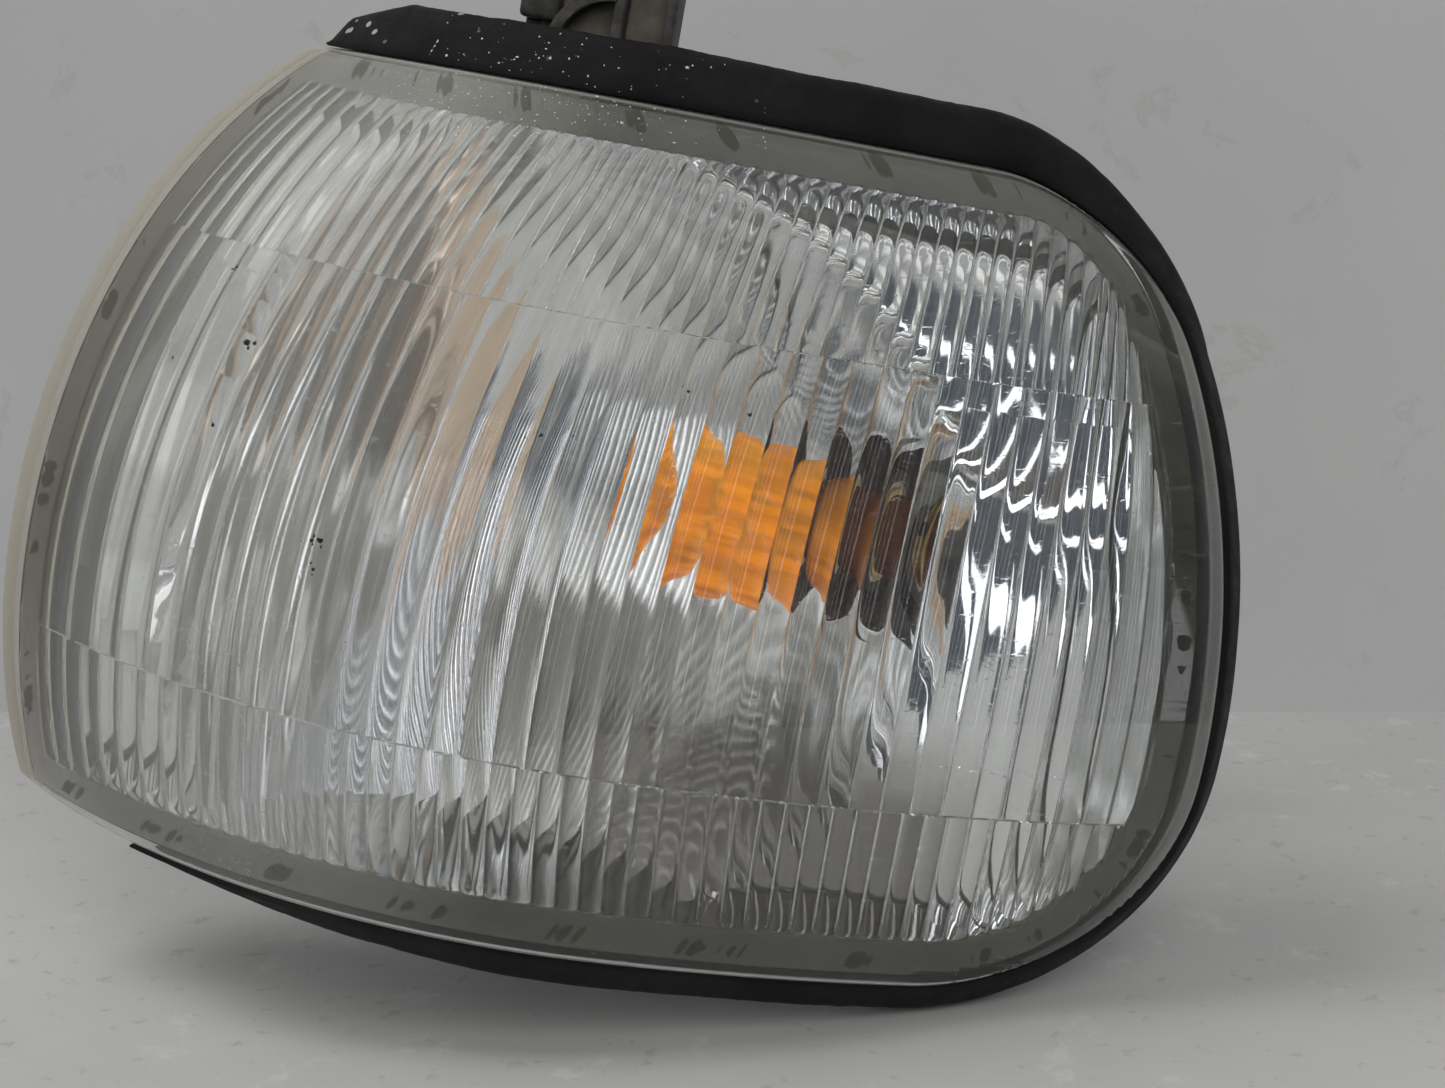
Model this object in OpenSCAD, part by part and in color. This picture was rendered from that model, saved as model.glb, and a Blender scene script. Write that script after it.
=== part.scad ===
// Front corner turn signal indicator for the left side of a car.
// X runs rearward, Y runs inboard and Z runs up; the lamp's outer face looks
// toward -Y on the side of the car and wraps round to -X at the front.
// The origin is the middle of the screw hole in the bracket.

/* [Lens] */
// radius of the side part of the lens in plan
side_radius = 272; // [240:1:320]
// radius of the front part of the lens in plan
front_radius = 114.7; // [105:0.1:130]
// plan angle where the side part meets the front part
side_angle = 25.9; // [22:0.1:30]
// plan angle of the front edge of the lens
front_angle = 84; // [82:0.1:85]
// radius of the lens from top to bottom
rake_radius = 102.7; // [98:0.1:130]
// height of the most outboard point of the lens
belly_z = -20.7; // [-26:0.1:-12]
// half of the lens height
half_height = 63; // [58:0.5:66]
// position of the rear end of the lens
rear_end_x = 63.7; // [58:0.1:68]
// radius of the upper rear corner
upper_corner = 23; // [16:1:30]
// radius of the lower rear corner
lower_corner = 38.7; // [28:0.1:44]
// thickness of the lens wall
lens_wall = 3.0; // [2.6:0.1:3.2]
// pitch of the middle zone of flutes
flute_pitch = 4.9; // [4:0.1:6]
// height of one flute
flute_height = 0.7; // [0.3:0.1:0.9]
// height of the line between middle and upper flutes
upper_line = 30.6; // [26:0.1:36]
// height of the line between middle and lower flutes
lower_line = -32.3; // [-38:0.1:-26]

/* [Reflector] */
// focal length of the reflector bowl
bowl_focal = 25; // [24:0.5:27]
// direction of the bowl axis, measured from the row of mounting points
bowl_yaw = 46; // [44:0.5:48]
// thickness of the reflector wall
reflector_wall = 2.0; // [1.6:0.1:2.2]

/* [Housing and seal] */
// thickness of the housing wall
housing_wall = 2.5; // [2:0.1:2.8]
// width of the body seal at the top edge
seal_top = 9; // [6:0.5:10]
// width of the body seal at the rear edge
seal_rear = 4.2; // [3:0.1:6]
// width of the body seal at the bottom edge
seal_bottom = 5; // [3:0.1:6]
// depth of the body seal from front to back
seal_depth = 12; // [8:0.5:14]

/* [Bulb and socket] */
// angle between the bulb axis and the length of the car
bulb_yaw = 8; // [6:0.5:10]
// radius of the bulb glass
glass_radius = 13.2; // [12.5:0.1:13.4]
// length of the bulb glass in front of the socket
glass_length = 38; // [34:0.5:40]
// inner radius of the housing collar
collar_radius = 17.5; // [17.5:0.1:18]
// travel of the bulb when it is pressed into the socket
push_travel = 1.6; // [1:0.1:1.8]
// angle the bulb turns in the socket
bulb_turn = 20; // [15:1:25]

/* [Mounting] */
// radius of the hole in the bracket sleeve
sleeve_hole = 3.25; // [2.6:0.05:3.3]
// radius of the locating pin
pin_radius = 4; // [3:0.1:4.2]
// length of the free end of the locating pin
pin_length = 16; // [10:0.5:18]

/* [Hidden] */
DEG = 180 / PI;
cA = [90, side_radius];
cB = cA + (side_radius - front_radius) * [-sin(side_angle), -cos(side_angle)];
u_join = side_radius * side_angle / DEG;
ed_yaw = -42;
Ev = [cos(ed_yaw), sin(ed_yaw), 0];
Dv = [-sin(ed_yaw), cos(ed_yaw), 0];
// middle of the screw hole in the bracket, which is the origin of the lamp
home = -73 * Ev + 76 * Dv + [0, 0, 90.1];
bulb_at = [23.7, 48.0, 2.5];
// seal widths between lens edge and optical area: top, rear, bottom, front
d_out = [1.5, 3, 2.5, 6];
d_in = [7.5, 8.5, 8.5, 12];

function plus(d, k) = [d[0] + k, d[1] + k, d[2] + k, d[3] + k];
function sagz(z) = let (d = z - belly_z) rake_radius - sqrt(rake_radius * rake_radius - d * d) + 0.02 * d;
function slopez(z) = let (d = z - belly_z) d / sqrt(rake_radius * rake_radius - d * d) + 0.02;
// point on the lens skin at arc position u and height z, moved h inward
function skin(u, z, h) =
  let (a = u < u_join, f = a ? u / side_radius * DEG : side_angle + (u - u_join) / front_radius * DEG,
       r = (a ? side_radius : front_radius) - sagz(z) - h, c = a ? cA : cB)
  [c[0] - r * sin(f), c[1] - r * cos(f), z];
// the same with the inward distance measured square to the skin
function inner(u, z, s) = skin(u, z, s * sqrt(1 + pow(slopez(z), 2)));
function u_of_x(x, z) = side_radius * asin((cA[0] - x) / (side_radius - sagz(z))) / DEG;
function u_front(z, d) = u_join + front_radius * (front_angle - side_angle) / DEG + 0.0016 * pow(z + 20, 2)
  - d * front_radius / (front_radius - sagz(z));

// closed outline of the lens in arc position and height, moved in by d
function outline(d, nt = 20, nc = 8, nr = 5, nl = 9) =
  let (zt = half_height - d[0], zb = -half_height + d[2], xe = rear_end_x - d[1],
       rt = max(upper_corner - max(d[0], d[1]), 3), rb = max(lower_corner - max(d[1], d[2]), 3))
  concat(
    [for (i = [0:nt - 1]) let (u0 = u_front(zt, d[3]), u1 = u_of_x(xe - rt, zt)) [u0 + (u1 - u0) * i / nt, zt]],
    [for (i = [0:nc - 1]) let (t = 90 * i / nc, z = zt - rt + rt * cos(t)) [u_of_x(xe - rt + rt * sin(t), z), z]],
    [for (i = [0:nr - 1]) let (z = zt - rt + (zb + rb - zt + rt) * i / nr) [u_of_x(xe, z), z]],
    [for (i = [0:nc - 1]) let (t = 90 * i / nc, z = zb + rb - rb * sin(t)) [u_of_x(xe - rb + rb * cos(t), z), z]],
    [for (i = [0:nt - 1]) let (u0 = u_front(zb, d[3]), u1 = u_of_x(xe - rb, zb)) [u1 + (u0 - u1) * i / nt, zb]],
    [for (i = [0:nl - 1]) let (z = zb + (zt - zb) * i / nl) [u_front(z, d[3]), z]]);
function loop(d, s) = [for (q = outline(d)) inner(q[0], q[1], s)];

// skin a list of equal loops into one closed solid
module skin_loops(loops, ring = false, flip = false) {
  n = len(loops[0]); m = len(loops);
  pts = [for (l = loops) for (p = l) p];
  side = [for (k = [0:m - (ring ? 1 : 2)]) for (i = [0:n - 1])
    let (a = k * n + i, b = k * n + (i + 1) % n, c = ((k + 1) % m) * n + (i + 1) % n, e = ((k + 1) % m) * n + i)
    each [[a, b, c], [a, c, e]]];
  caps = ring ? [] : [[for (i = [n - 1:-1:0]) i], [for (i = [0:n - 1]) (m - 1) * n + i]];
  all = concat(side, caps);
  polyhedron(points = pts, faces = flip ? [for (f = all) [for (i = [len(f) - 1:-1:0]) f[i]]] : all, convexity = 8);
}

// reflector surface, as a depth along Dv
function smax(a, b, k) = (a + b + sqrt((a - b) * (a - b) + k * k)) / 2;
// bowl of revolution about the bowl axis, with its vertex at the bulb hole
function bowl(e, z) = let (k = 4 * bowl_focal, ca = cos(bowl_yaw), sa = sin(bowl_yaw), h = pow(z - 2.5, 2) / k, c = e + 14.5 + ca * h,
  d = sa * sa - 4 * ca / k * c, s = (sqrt(max(d, 0)) - sa) * k / 2 / ca)
  51.5 - sa * (s * s / k + h) + ca * s - 0.022 * pow(max(-70 - e, 0), 2);
function wall(e) = 33.5 + 0.38 * (e + 3) - 0.9 * max(-28 - e, 0);
function depth(p, ledge) = let (e = p * Ev, q = p * Dv) smax(q + ledge, smax(bowl(e, p[2]), wall(e), 4), 1.5);
function sunk(p, ledge, more) = let (q = p * Dv) p + (depth(p, ledge) + more * (1 + 0.009 * max(-60 - p * Ev, 0)) - q) * Dv;
mid_uz = [118, -2];
function toward(d, w) = [for (q = outline(d)) q + (mid_uz - q) * w];
function bowl_loop(d, w, s, ledge, more) = [for (q = toward(d, w)) sunk(inner(q[0], q[1], s), ledge, more)];
steps = [0.02, 0.07, 0.13, 0.2, 0.28, 0.37, 0.46, 0.56, 0.67, 0.79, 0.9];

module at_home() translate(-home) children();
module at_bulb() translate(bulb_at) rotate([0, 0, -bulb_yaw]) rotate([0, 90, 0]) children();
module in_ed() rotate([0, 0, ed_yaw]) children();
module tube(ro, ri, h, fn = 64) difference() {
  cylinder(r = ro, h = h, $fn = fn);
  translate([0, 0, -1]) cylinder(r = ri, h = h + 2, $fn = fn);
}
module ring_part(r0, r1, z0, z1, a0, a1, fn = 64) rotate([0, 0, a0]) rotate_extrude(angle = a1 - a0, $fn = fn) translate([r0, z0]) square([r1 - r0, z1 - z0]);

// clear outer lens: smooth outside, flutes in three zones inside
function lean_of(f) = lookup(f, [[0, 0], [8, 0], [13, -0.5], [24, -0.5], [32, -0.44], [48, -0.3], [64, -0.14], [72, 0]]);
function line_u(u, z) = let (a = u < u_join, f = a ? u / side_radius * DEG : side_angle + (u - u_join) / front_radius * DEG,
  r = a ? side_radius : front_radius) u + lean_of(f) * ln(1 - sagz(z) / r) * r - 0.2 * max(u - 196, 0);
function flute(u, z) = let (mid = z < upper_line && z > lower_line, p = mid ? flute_pitch : flute_pitch * 0.75,
  t = line_u(u, z) / p, g = 2 * (t - floor(t)) - 1) (mid ? 0 : -0.4) + flute_height * (sqrt(1.25 - g * g) - 0.5);
z_rows = [-54.5, -50, -44, -38, -32.6, -32, -22, -12, -2, 8, 19, 30.3, 30.9, 38, 46, 52, 55.5];
module lens() {
  n = 128;
  us = function (z, d) let (zt = half_height - d[0], zb = -half_height + d[2], rt = max(upper_corner - d[1], 3), rb = max(lower_corner - d[1], 3),
    xe = rear_end_x - d[1], x = z > zt - rt ? xe - rt + sqrt(max(rt * rt - pow(z - zt + rt, 2), 0)) :
      z < zb + rb ? xe - rb + sqrt(max(rb * rb - pow(zb + rb - z, 2), 0)) : xe) [u_of_x(x, z), u_front(z, d[3])];
  rows = concat([-63, -62.4, -60.5], z_rows, [59, 61.8, 63]);
  m = len(rows) - 1;
  grid = [for (j = [0:m]) let (e = us(rows[j], [0, 0, 0, 0])) [for (i = [0:n]) [e[0] + (e[1] - e[0]) * i / n, rows[j]]]];
  front = [for (r = grid) for (q = r) skin(q[0], q[1], 0)];
  back = [for (r = grid) for (q = r) let (z = q[1], e = us(min(max(z, -54.4), 55.4), d_in),
    on = z > -54.6 && z < 55.6 && q[0] > e[0] && q[0] < e[1])
    inner(q[0], z, lens_wall + (on ? flute(q[0], z) : 0))];
  k = len(front);
  at = function (j, i) j * (n + 1) + i;
  faces = concat(
    [for (j = [0:m - 1]) for (i = [0:n - 1]) each [[at(j, i), at(j, i + 1), at(j + 1, i + 1)], [at(j, i), at(j + 1, i + 1), at(j + 1, i)]]],
    [for (j = [0:m - 1]) for (i = [0:n - 1]) each [[k + at(j, i), k + at(j + 1, i + 1), k + at(j, i + 1)], [k + at(j, i), k + at(j + 1, i), k + at(j + 1, i + 1)]]],
    [for (i = [0:n - 1]) each [[at(0, i), k + at(0, i + 1), at(0, i + 1)], [at(0, i), k + at(0, i), k + at(0, i + 1)]]],
    [for (i = [0:n - 1]) each [[at(m, i), at(m, i + 1), k + at(m, i + 1)], [at(m, i), k + at(m, i + 1), k + at(m, i)]]],
    [for (j = [0:m - 1]) each [[at(j, 0), at(j + 1, 0), k + at(j + 1, 0)], [at(j, 0), k + at(j + 1, 0), k + at(j, 0)]]],
    [for (j = [0:m - 1]) each [[at(j, n), k + at(j + 1, n), at(j + 1, n)], [at(j, n), k + at(j, n), k + at(j + 1, n)]]]);
  color([0.85, 0.88, 0.88, 0.5]) polyhedron(points = concat(front, back), faces = faces, convexity = 10);
}

// sealant between lens and housing flange
module adhesive_bead() {
  color([0.24, 0.23, 0.12])
    skin_loops([loop(d_out, lens_wall + 0.2), loop(d_out, lens_wall + 1.33), loop(plus(d_in, -1.7), lens_wall + 1.33), loop(plus(d_in, -1.7), lens_wall + 0.2)], true, true);
}

// rear shell with front flange, socket collar and bosses
f0 = lens_wall + 1.65;
f1 = lens_wall + 4.2;
module housing() {
  di = plus(d_in, -2.6);
  db = plus(di, -housing_wall);
  color([0.16, 0.16, 0.17])
  difference() {
    union() {
      skin_loops(concat(
        [for (i = [len(steps) - 1:-1:0]) bowl_loop(di, steps[i], f0, 5, 5.1)],
        [loop(di, f0), loop(d_out, f0), loop(d_out, f1), loop(db, f1)],
        [for (i = [0:len(steps) - 1]) bowl_loop(db, steps[i], f0, 5, 5.1 + housing_wall)]), flip = true);
      // socket collar and pin boss, trimmed inside the wall of the shell
      difference() {
        union() {
          at_bulb() translate([0, 0, -10]) cylinder(r = collar_radius + 2, h = 32, $fn = 72);
          in_ed() translate([24, 42, -30]) rotate([-90, 0, 0]) cylinder(r = 7, h = 18, $fn = 48);
          in_ed() translate([-72, 62, -12]) rotate([-90, 0, 0]) cylinder(r = 4, h = 20, $fn = 40);
          // pad that the bracket stands on
          in_ed() translate([-85, 50, 34]) cube([24, 14.5, 26.6]);
        }
        skin_loops(concat([loop(plus(di, -1.1), f0 - 20), loop(plus(di, -1.1), f0)],
          [for (i = [0:len(steps) - 1]) bowl_loop(plus(di, -1.1), steps[i], f0, 5, 5.1 + 0.45 * housing_wall)]), flip = true);
      }
    }
    at_bulb() rotate([0, 0, 17]) rotate_extrude($fn = 72)
      polygon([[0, -9], [collar_radius, -9], [collar_radius, 7.8], [15.36, 7.8], [15.36, 11], [collar_radius, 11], [collar_radius, 40], [0, 40]]);
    // entry notches for the three lugs of the socket
    at_bulb() for (a = [0:120:240]) ring_part(10, collar_radius - 0.14, 6, 12, a + 40, a + 76);
    in_ed() translate([24, 54, -30]) rotate([-90, 0, 0]) cylinder(r = pin_radius, h = 9, $fn = 40);
    in_ed() translate([-72, 60, -12]) rotate([-90, 0, 0]) cylinder(r = 1.6, h = 60, $fn = 24);
  }
}

// bright inner bowl
module reflector() {
  dr = plus(d_in, reflector_wall - 1.9);
  color([0.82, 0.83, 0.84])
  difference() {
    skin_loops(concat(
      [for (i = [len(steps) - 1:-1:0]) bowl_loop(plus(dr, reflector_wall), steps[i], f0 + 0.2, 5, 0)],
      [loop(plus(dr, reflector_wall), f0 + 0.2), loop(dr, f0 + 0.2)],
      [for (i = [0:len(steps) - 1]) bowl_loop(dr, steps[i], f0 + 0.2, 5, reflector_wall)]), flip = true);
    at_bulb() translate([0, 0, -20]) cylinder(r = 15.5, h = 60, $fn = 64);
  }
}

// black rubber seal round the upper, rear and lower edges
module body_seal() {
  n_top = 22; n_c = 9; n_r = 6; n_b = 26;
  zt = half_height; xe = rear_end_x; rt = upper_corner; rb = lower_corner;
  uf = u_front(zt, 4); ub = u_front(-zt, 33);
  // stations: [outline point, outward direction in (u, z), width]
  st = concat(
    [for (i = [0:n_top - 1]) let (u1 = u_of_x(xe - rt, zt), t = i / n_top) [[uf + (u1 - uf) * t, zt], [0, 1], min(seal_top, 1 + 230 * t, 5.2 + 26 * t)]],
    [for (i = [0:n_c - 1]) let (t = 90 * i / n_c, z = zt - rt + rt * cos(t)) [[u_of_x(xe - rt + rt * sin(t), z), z], [-sin(t), cos(t)], seal_top + (seal_rear - seal_top) * t / 90]],
    [for (i = [0:n_r - 1]) let (z = zt - rt + (-zt + rb - zt + rt) * i / n_r) [[u_of_x(xe, z), z], [-1, 0], seal_rear]],
    [for (i = [0:n_c - 1]) let (t = 90 * i / n_c, z = -zt + rb - rb * sin(t)) [[u_of_x(xe - rb + rb * cos(t), z), z], [-cos(t), -sin(t)], seal_rear + (seal_bottom - seal_rear) * t / 90]],
    [for (i = [0:n_b]) let (u1 = u_of_x(xe - rb, -zt), t = i / n_b) [[u1 + (ub - u1) * t, -zt], [0, -1], min(seal_bottom, 0.6 + 9 * (1 - t))]]);
  loops = [for (s = st) let (u = s[0][0], z = s[0][1], o = s[1], w = s[2],
      f = u < u_join ? u / side_radius * DEG : side_angle + (u - u_join) / front_radius * DEG,
      out = [-o[0] * cos(f), o[0] * sin(f), o[1]], back = [sin(f), cos(f), 0], q = skin(u, z, 0), b = seal_depth - 5 * abs(o[0]))
    [q + 0.3 * out + 0.4 * back, q + w * out + (0.4 + 0.5 * w) * back, q + w * out + (b - 1) * back,
     q + 0.75 * w * out + b * back, q + 0.3 * out + b * back]];
  color([0.05, 0.05, 0.055]) skin_loops(loops);
}

// ribbed bracket that carries the upper screw
module top_bracket() {
  color([0.2, 0.2, 0.21]) in_ed() difference() {
    union() {
      translate([-87, 54, 60.75]) cube([28, 11.5, 2.1]);
      translate([-87, 61.5, 60.75]) cube([28, 4, 30]);
      for (x = [-87, -74.5, -62]) translate([x, 56.5, 74.5]) cube([3, 6, 14]);
      translate([-98, 60, 76]) cube([12, 3.5, 8]);
      translate([-87, 61.5, 87]) cube([28, 22, 4]);
      translate([-73, 76, 87]) cylinder(r = 9, h = 6, $fn = 56);
      for (x = [-86, -63]) translate([x, 65, 74]) cube([3, 14, 13.5]);
    }
    translate([-73, 76, 80]) cylinder(r = 4.6, h = 30, $fn = 48);
    // pockets between the ribs
    translate([-82.5, 60.5, 78.5]) cube([6.5, 3, 6.5]);
    translate([-70, 60.5, 78.5]) cube([6.5, 3, 6.5]);
  }
}

// steel sleeve pressed into the bracket
module bracket_sleeve() {
  color([0.7, 0.7, 0.72]) in_ed() translate([-73, 76, 86.8]) tube(4.58, sleeve_hole, 6.6, 48);
}

// pin that slides into the body panel
module locating_pin() {
  color([0.75, 0.73, 0.66]) in_ed() translate([24, 54.2, -30]) rotate([-90, 0, 0])
    rotate_extrude($fn = 48) polygon([[0, 0], [pin_radius - 0.02, 0], [pin_radius - 0.02, 5.9], [pin_radius + 2, 5.9], [pin_radius + 2, 7.6],
      [pin_radius, 7.6], [pin_radius, 7.6 + pin_length - 1.5], [pin_radius - 1.5, 7.6 + pin_length], [0, 7.6 + pin_length]]);
}

// rubber cap over the vent nipple
module vent_cap() {
  color([0.07, 0.07, 0.075]) in_ed() translate([-72, 76.8, -12]) rotate([-90, 0, 0]) difference() {
    union() {
      cylinder(r = 6.2, h = 9, $fn = 48);
      translate([0, 0, 5]) rotate([0, 90, 0]) cylinder(r = 3, h = 13, $fn = 32);
    }
    translate([0, 0, -1]) cylinder(r = 4.02, h = 6.4, $fn = 40);
    translate([0, 0, 5]) rotate([0, 90, 0]) cylinder(r = 1.7, h = 14, $fn = 24);
  }
}

// coloured glass of the bulb
module bulb_glass() {
  l = glass_length; r = glass_radius; w = 0.7;
  out = concat([[6.6, 2]], [for (a = [-52:13:0]) [6.6 + (r - 6.6) * cos(a), -l + r + 13 + 8 + 8 * sin(-a) * 1.3 - 8]], [for (a = [0:9:81]) [r * cos(a), -l + r - r * sin(a)]], [[0, -l]]);
  in = concat([[0, -l + w]], [for (a = [81:-9:0]) [(r - w) * cos(a), -l + r - (r - w) * sin(a)]],
    [for (a = [0:-13:-52]) [6.6 - w + (r - 6.6) * cos(a), -l + r + 13 + 8 + 8 * sin(-a) * 1.3 - 8]], [[6.6 - w, 2]]);
  color([0.95, 0.5, 0.05, 0.7]) at_bulb() rotate_extrude($fn = 72) polygon(concat(out, in));
}

// glass mount inside the bulb
module bulb_stem() {
  color([0.85, 0.85, 0.85, 0.6]) at_bulb() rotate_extrude($fn = 40)
    polygon([[0, 3.6], [5, 3.6], [5, 2], [2.6, 0], [2.2, -8], [1.4, -10], [0, -10]]);
}

module filament(x, z, len, r) {
  n = 9;
  at_bulb() translate([x, 0, z]) rotate([90, 0, 0]) translate([0, 0, -len / 2]) {
    for (i = [0:n - 1]) translate([0, 0, len * (i + 0.5) / n]) rotate_extrude($fn = 18) translate([r - 0.05, 0]) circle(r = 0.14, $fn = 14);
    cylinder(r = r, h = len, $fn = 18);
  }
}
module filament_signal() { color([0.6, 0.6, 0.62]) filament(-2.2, -20, 7, 0.6); }
module filament_marker() { color([0.6, 0.6, 0.62]) filament(2.6, -17, 6, 0.45); }

// support wires of the two filaments
module filament_leads() {
  color([0.7, 0.68, 0.62]) at_bulb() {
    for (y = [-3.9, 3.9]) translate([-2.2, y, -20.2]) cylinder(r = 0.3, h = 11.5, $fn = 14);
    for (y = [-3.4, 3.4]) translate([2.6, y, -17.2]) cylinder(r = 0.3, h = 8.5, $fn = 14);
    translate([-2.2, -4.1, -8.9]) cube([0.5, 2.2, 0.5]);
    translate([-2.2, 1.9, -8.9]) cube([0.5, 2.2, 0.5]);
    translate([2.1, -3.6, -8.9]) cube([0.5, 2.4, 0.5]);
    translate([2.1, 1.2, -8.9]) cube([0.5, 2.4, 0.5]);
  }
}

// bayonet base of the bulb with its two side pins
module bulb_base() {
  color([0.78, 0.66, 0.38]) at_bulb() {
    difference() {
      translate([0, 0, 2.2]) cylinder(r = 7.5, h = 15.8, $fn = 64);
      translate([0, 0, 3.8]) cylinder(r = 7.0, h = 13, $fn = 64);
      translate([0, 0, 1]) cylinder(r = 5.6, h = 4, $fn = 48);
      translate([0, 0, 16]) cylinder(r = 5.2, h = 4, $fn = 48);
    }
    for (s = [-1, 1]) translate([0, s * 7.1, 11]) rotate([-s * 90, 0, 0]) cylinder(r = 1, h = 1.1, $fn = 24);
  }
}
module base_insulator() { color([0.06, 0.05, 0.05]) at_bulb() translate([0, 0, 16.9]) cylinder(r1 = 5.15, r2 = 4.6, h = 2, $fn = 40); }
module base_contacts() { color([0.75, 0.75, 0.74]) at_bulb() for (y = [-2.3, 2.3]) translate([0, y, 18.95]) cylinder(r = 1.3, h = 0.9, $fn = 24); }

// turn-lock socket with three lugs
module socket_body() {
  color([0.22, 0.2, 0.18]) at_bulb() difference() {
    union() {
      translate([0, 0, 3.2]) cylinder(r = 15.3, h = 22, $fn = 72);
      for (a = [0:120:240]) ring_part(14.5, 17.2, 4.0, 7.6, a + 3, a + 33);
      translate([0, 0, 24.1]) cylinder(r = 19.0, h = 3, $fn = 72);
      translate([0, 0, 26]) cylinder(r = 12.5, h = 9, $fn = 64);
      for (a = [0, 90]) rotate([0, 0, a + 45]) translate([-18, -1.4, 26]) cube([36, 2.8, 6]);
    }
    translate([0, 0, 3]) cylinder(r = 8.32, h = 26.5, $fn = 64);
    translate([0, 0, 29]) cylinder(r = 5.5, h = 8, $fn = 48);
    // moulding recess round the sleeve
    translate([0, 0, 2.5]) tube(13.2, 10.2, 13, 64);
  }
}

// metal sleeve with bayonet windows
module socket_shell() {
  a = bulb_turn;
  color([0.8, 0.72, 0.5]) at_bulb() difference() {
    translate([0, 0, 3.2]) tube(8.3, 7.56, 25.6, 64);
    for (s = [0, 180]) rotate([0, 0, s + 90]) {
      ring_part(7, 9, 9.9, 12.1 + push_travel, -8.5 - a, 8.5);
      ring_part(7, 9, 2, 10.5, -8.5 - a, 8.5 - a);
    }
  }
}
module socket_seal() { color([0.1, 0.1, 0.11]) at_bulb() translate([0, 0, 22.05]) tube(18.7, 15.34, 2.0, 64); }

// insulating plate that the spring pushes against the bulb
module contact_plate() {
  color([0.42, 0.27, 0.14]) at_bulb() difference() {
    translate([0, 0, 20.9]) cylinder(r = 7.5, h = 1.5, $fn = 56);
    for (y = [-2.3, 2.3]) translate([0, y, 20]) cylinder(r = 1.0, h = 4, $fn = 24);
  }
}
module socket_contacts() {
  color([0.8, 0.6, 0.35]) at_bulb() for (y = [-2.3, 2.3]) translate([0, y, 19.87]) {
    cylinder(r = 1.5, h = 1.0, $fn = 24);
    cylinder(r = 0.98, h = 4.4, $fn = 24);
  }
}
module contact_spring() {
  turns = 4.5; seg = 14; m = round(turns * seg); r = 5.9; w = 0.38; z0 = 22.85; z1 = 29.05;
  loops = [for (i = [0:m]) let (a = 360 * i / seg, z = z0 + (z1 - z0) * i / m)
    [for (j = [0:5]) let (b = 60 * j) [(r + w * cos(b)) * cos(a), (r + w * cos(b)) * sin(a), z + w * sin(b)]]];
  color([0.72, 0.72, 0.73]) at_bulb() skin_loops(loops, flip = true);
}

// rubber boot where the wires leave the socket
module wire_boot() {
  color([0.09, 0.09, 0.095]) at_bulb() difference() {
    union() {
      translate([0, 0, 29.6]) cylinder(r = 5.48, h = 6, $fn = 48);
      translate([0, 0, 35.1]) cylinder(r = 7.5, h = 2.4, $fn = 48);
      translate([0, 0, 37]) cylinder(r1 = 6.2, r2 = 4.8, h = 7, $fn = 48);
    }
    for (y = [-2.7, 0, 2.7]) translate([y, 0, 28]) cylinder(r = 1.12, h = 20, $fn = 24);
  }
}

// one wire: straight out of the boot, a bend inboard, straight to the connector
module wire(i) at_bulb() translate([2.7 * i, 0, 0]) {
  translate([0, 0, 25]) cylinder(r = 1.1, h = 24.01, $fn = 24);
  multmatrix([[0, 0, -1, 0], [-1, 0, 0, 14], [0, 1, 0, 49]]) rotate_extrude(angle = 90, $fn = 60) translate([14, 0]) circle(r = 1.1, $fn = 24);
  translate([0, 13.99, 63]) rotate([-90, 0, 0]) cylinder(r = 1.1, h = 26, $fn = 24);
}
module wire_signal() { color([0.1, 0.35, 0.15]) wire(-1); }
module wire_marker() { color([0.6, 0.1, 0.08]) wire(1); }
module wire_ground() { color([0.06, 0.06, 0.06]) wire(0); }

// three-way connector at the end of the wires
module connector_body() {
  color([0.13, 0.13, 0.14]) at_bulb() translate([0, 38, 63]) rotate([-90, 0, 0]) difference() {
    union() {
      translate([-6.5, -4.5, 0]) cube([13, 9, 10]);
      translate([-8, -5.6, 9]) cube([16, 11.2, 15]);
      translate([-2.5, 4, 2]) cube([5, 3.2, 20]);
    }
    translate([-6.6, -4.3, 11]) cube([13.2, 8.6, 14]);
    for (x = [-2.7, 0, 2.7]) translate([x, 0, -1]) cylinder(r = 1.12, h = 6, $fn = 24);
    for (x = [-2.7, 0, 2.7]) translate([x - 0.42, -0.62, 4]) cube([0.84, 1.24, 9]);
    translate([-3, -5, 4]) cube([6, 3.1, 3]);
    translate([-1.4, 5.2, 1]) cube([2.8, 3, 16]);
  }
}
module connector_lock() { color([0.75, 0.7, 0.5]) at_bulb() translate([0, 38, 63]) rotate([-90, 0, 0]) translate([-2.95, -5.9, 4.05]) cube([5.9, 3.9, 2.9]); }
module connector_terminals() {
  color([0.8, 0.62, 0.32]) at_bulb() translate([0, 38, 63]) rotate([-90, 0, 0]) for (x = [-2.7, 0, 2.7])
    translate([x - 0.4, -0.6, 5.1]) cube([0.8, 1.2, 15]);
}

at_home() lens();
at_home() adhesive_bead();
at_home() housing();
at_home() reflector();
at_home() body_seal();
at_home() top_bracket();
at_home() bracket_sleeve();
at_home() locating_pin();
at_home() vent_cap();
at_home() bulb_glass();
at_home() bulb_stem();
at_home() filament_signal();
at_home() filament_marker();
at_home() filament_leads();
at_home() bulb_base();
at_home() base_insulator();
at_home() base_contacts();
at_home() socket_body();
at_home() socket_shell();
at_home() socket_seal();
at_home() contact_plate();
at_home() socket_contacts();
at_home() contact_spring();
at_home() wire_boot();
at_home() wire_signal();
at_home() wire_marker();
at_home() wire_ground();
at_home() connector_body();
at_home() connector_lock();
at_home() connector_terminals();
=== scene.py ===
import bpy, bmesh, math
import numpy as np
from mathutils import Vector, Matrix


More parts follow.
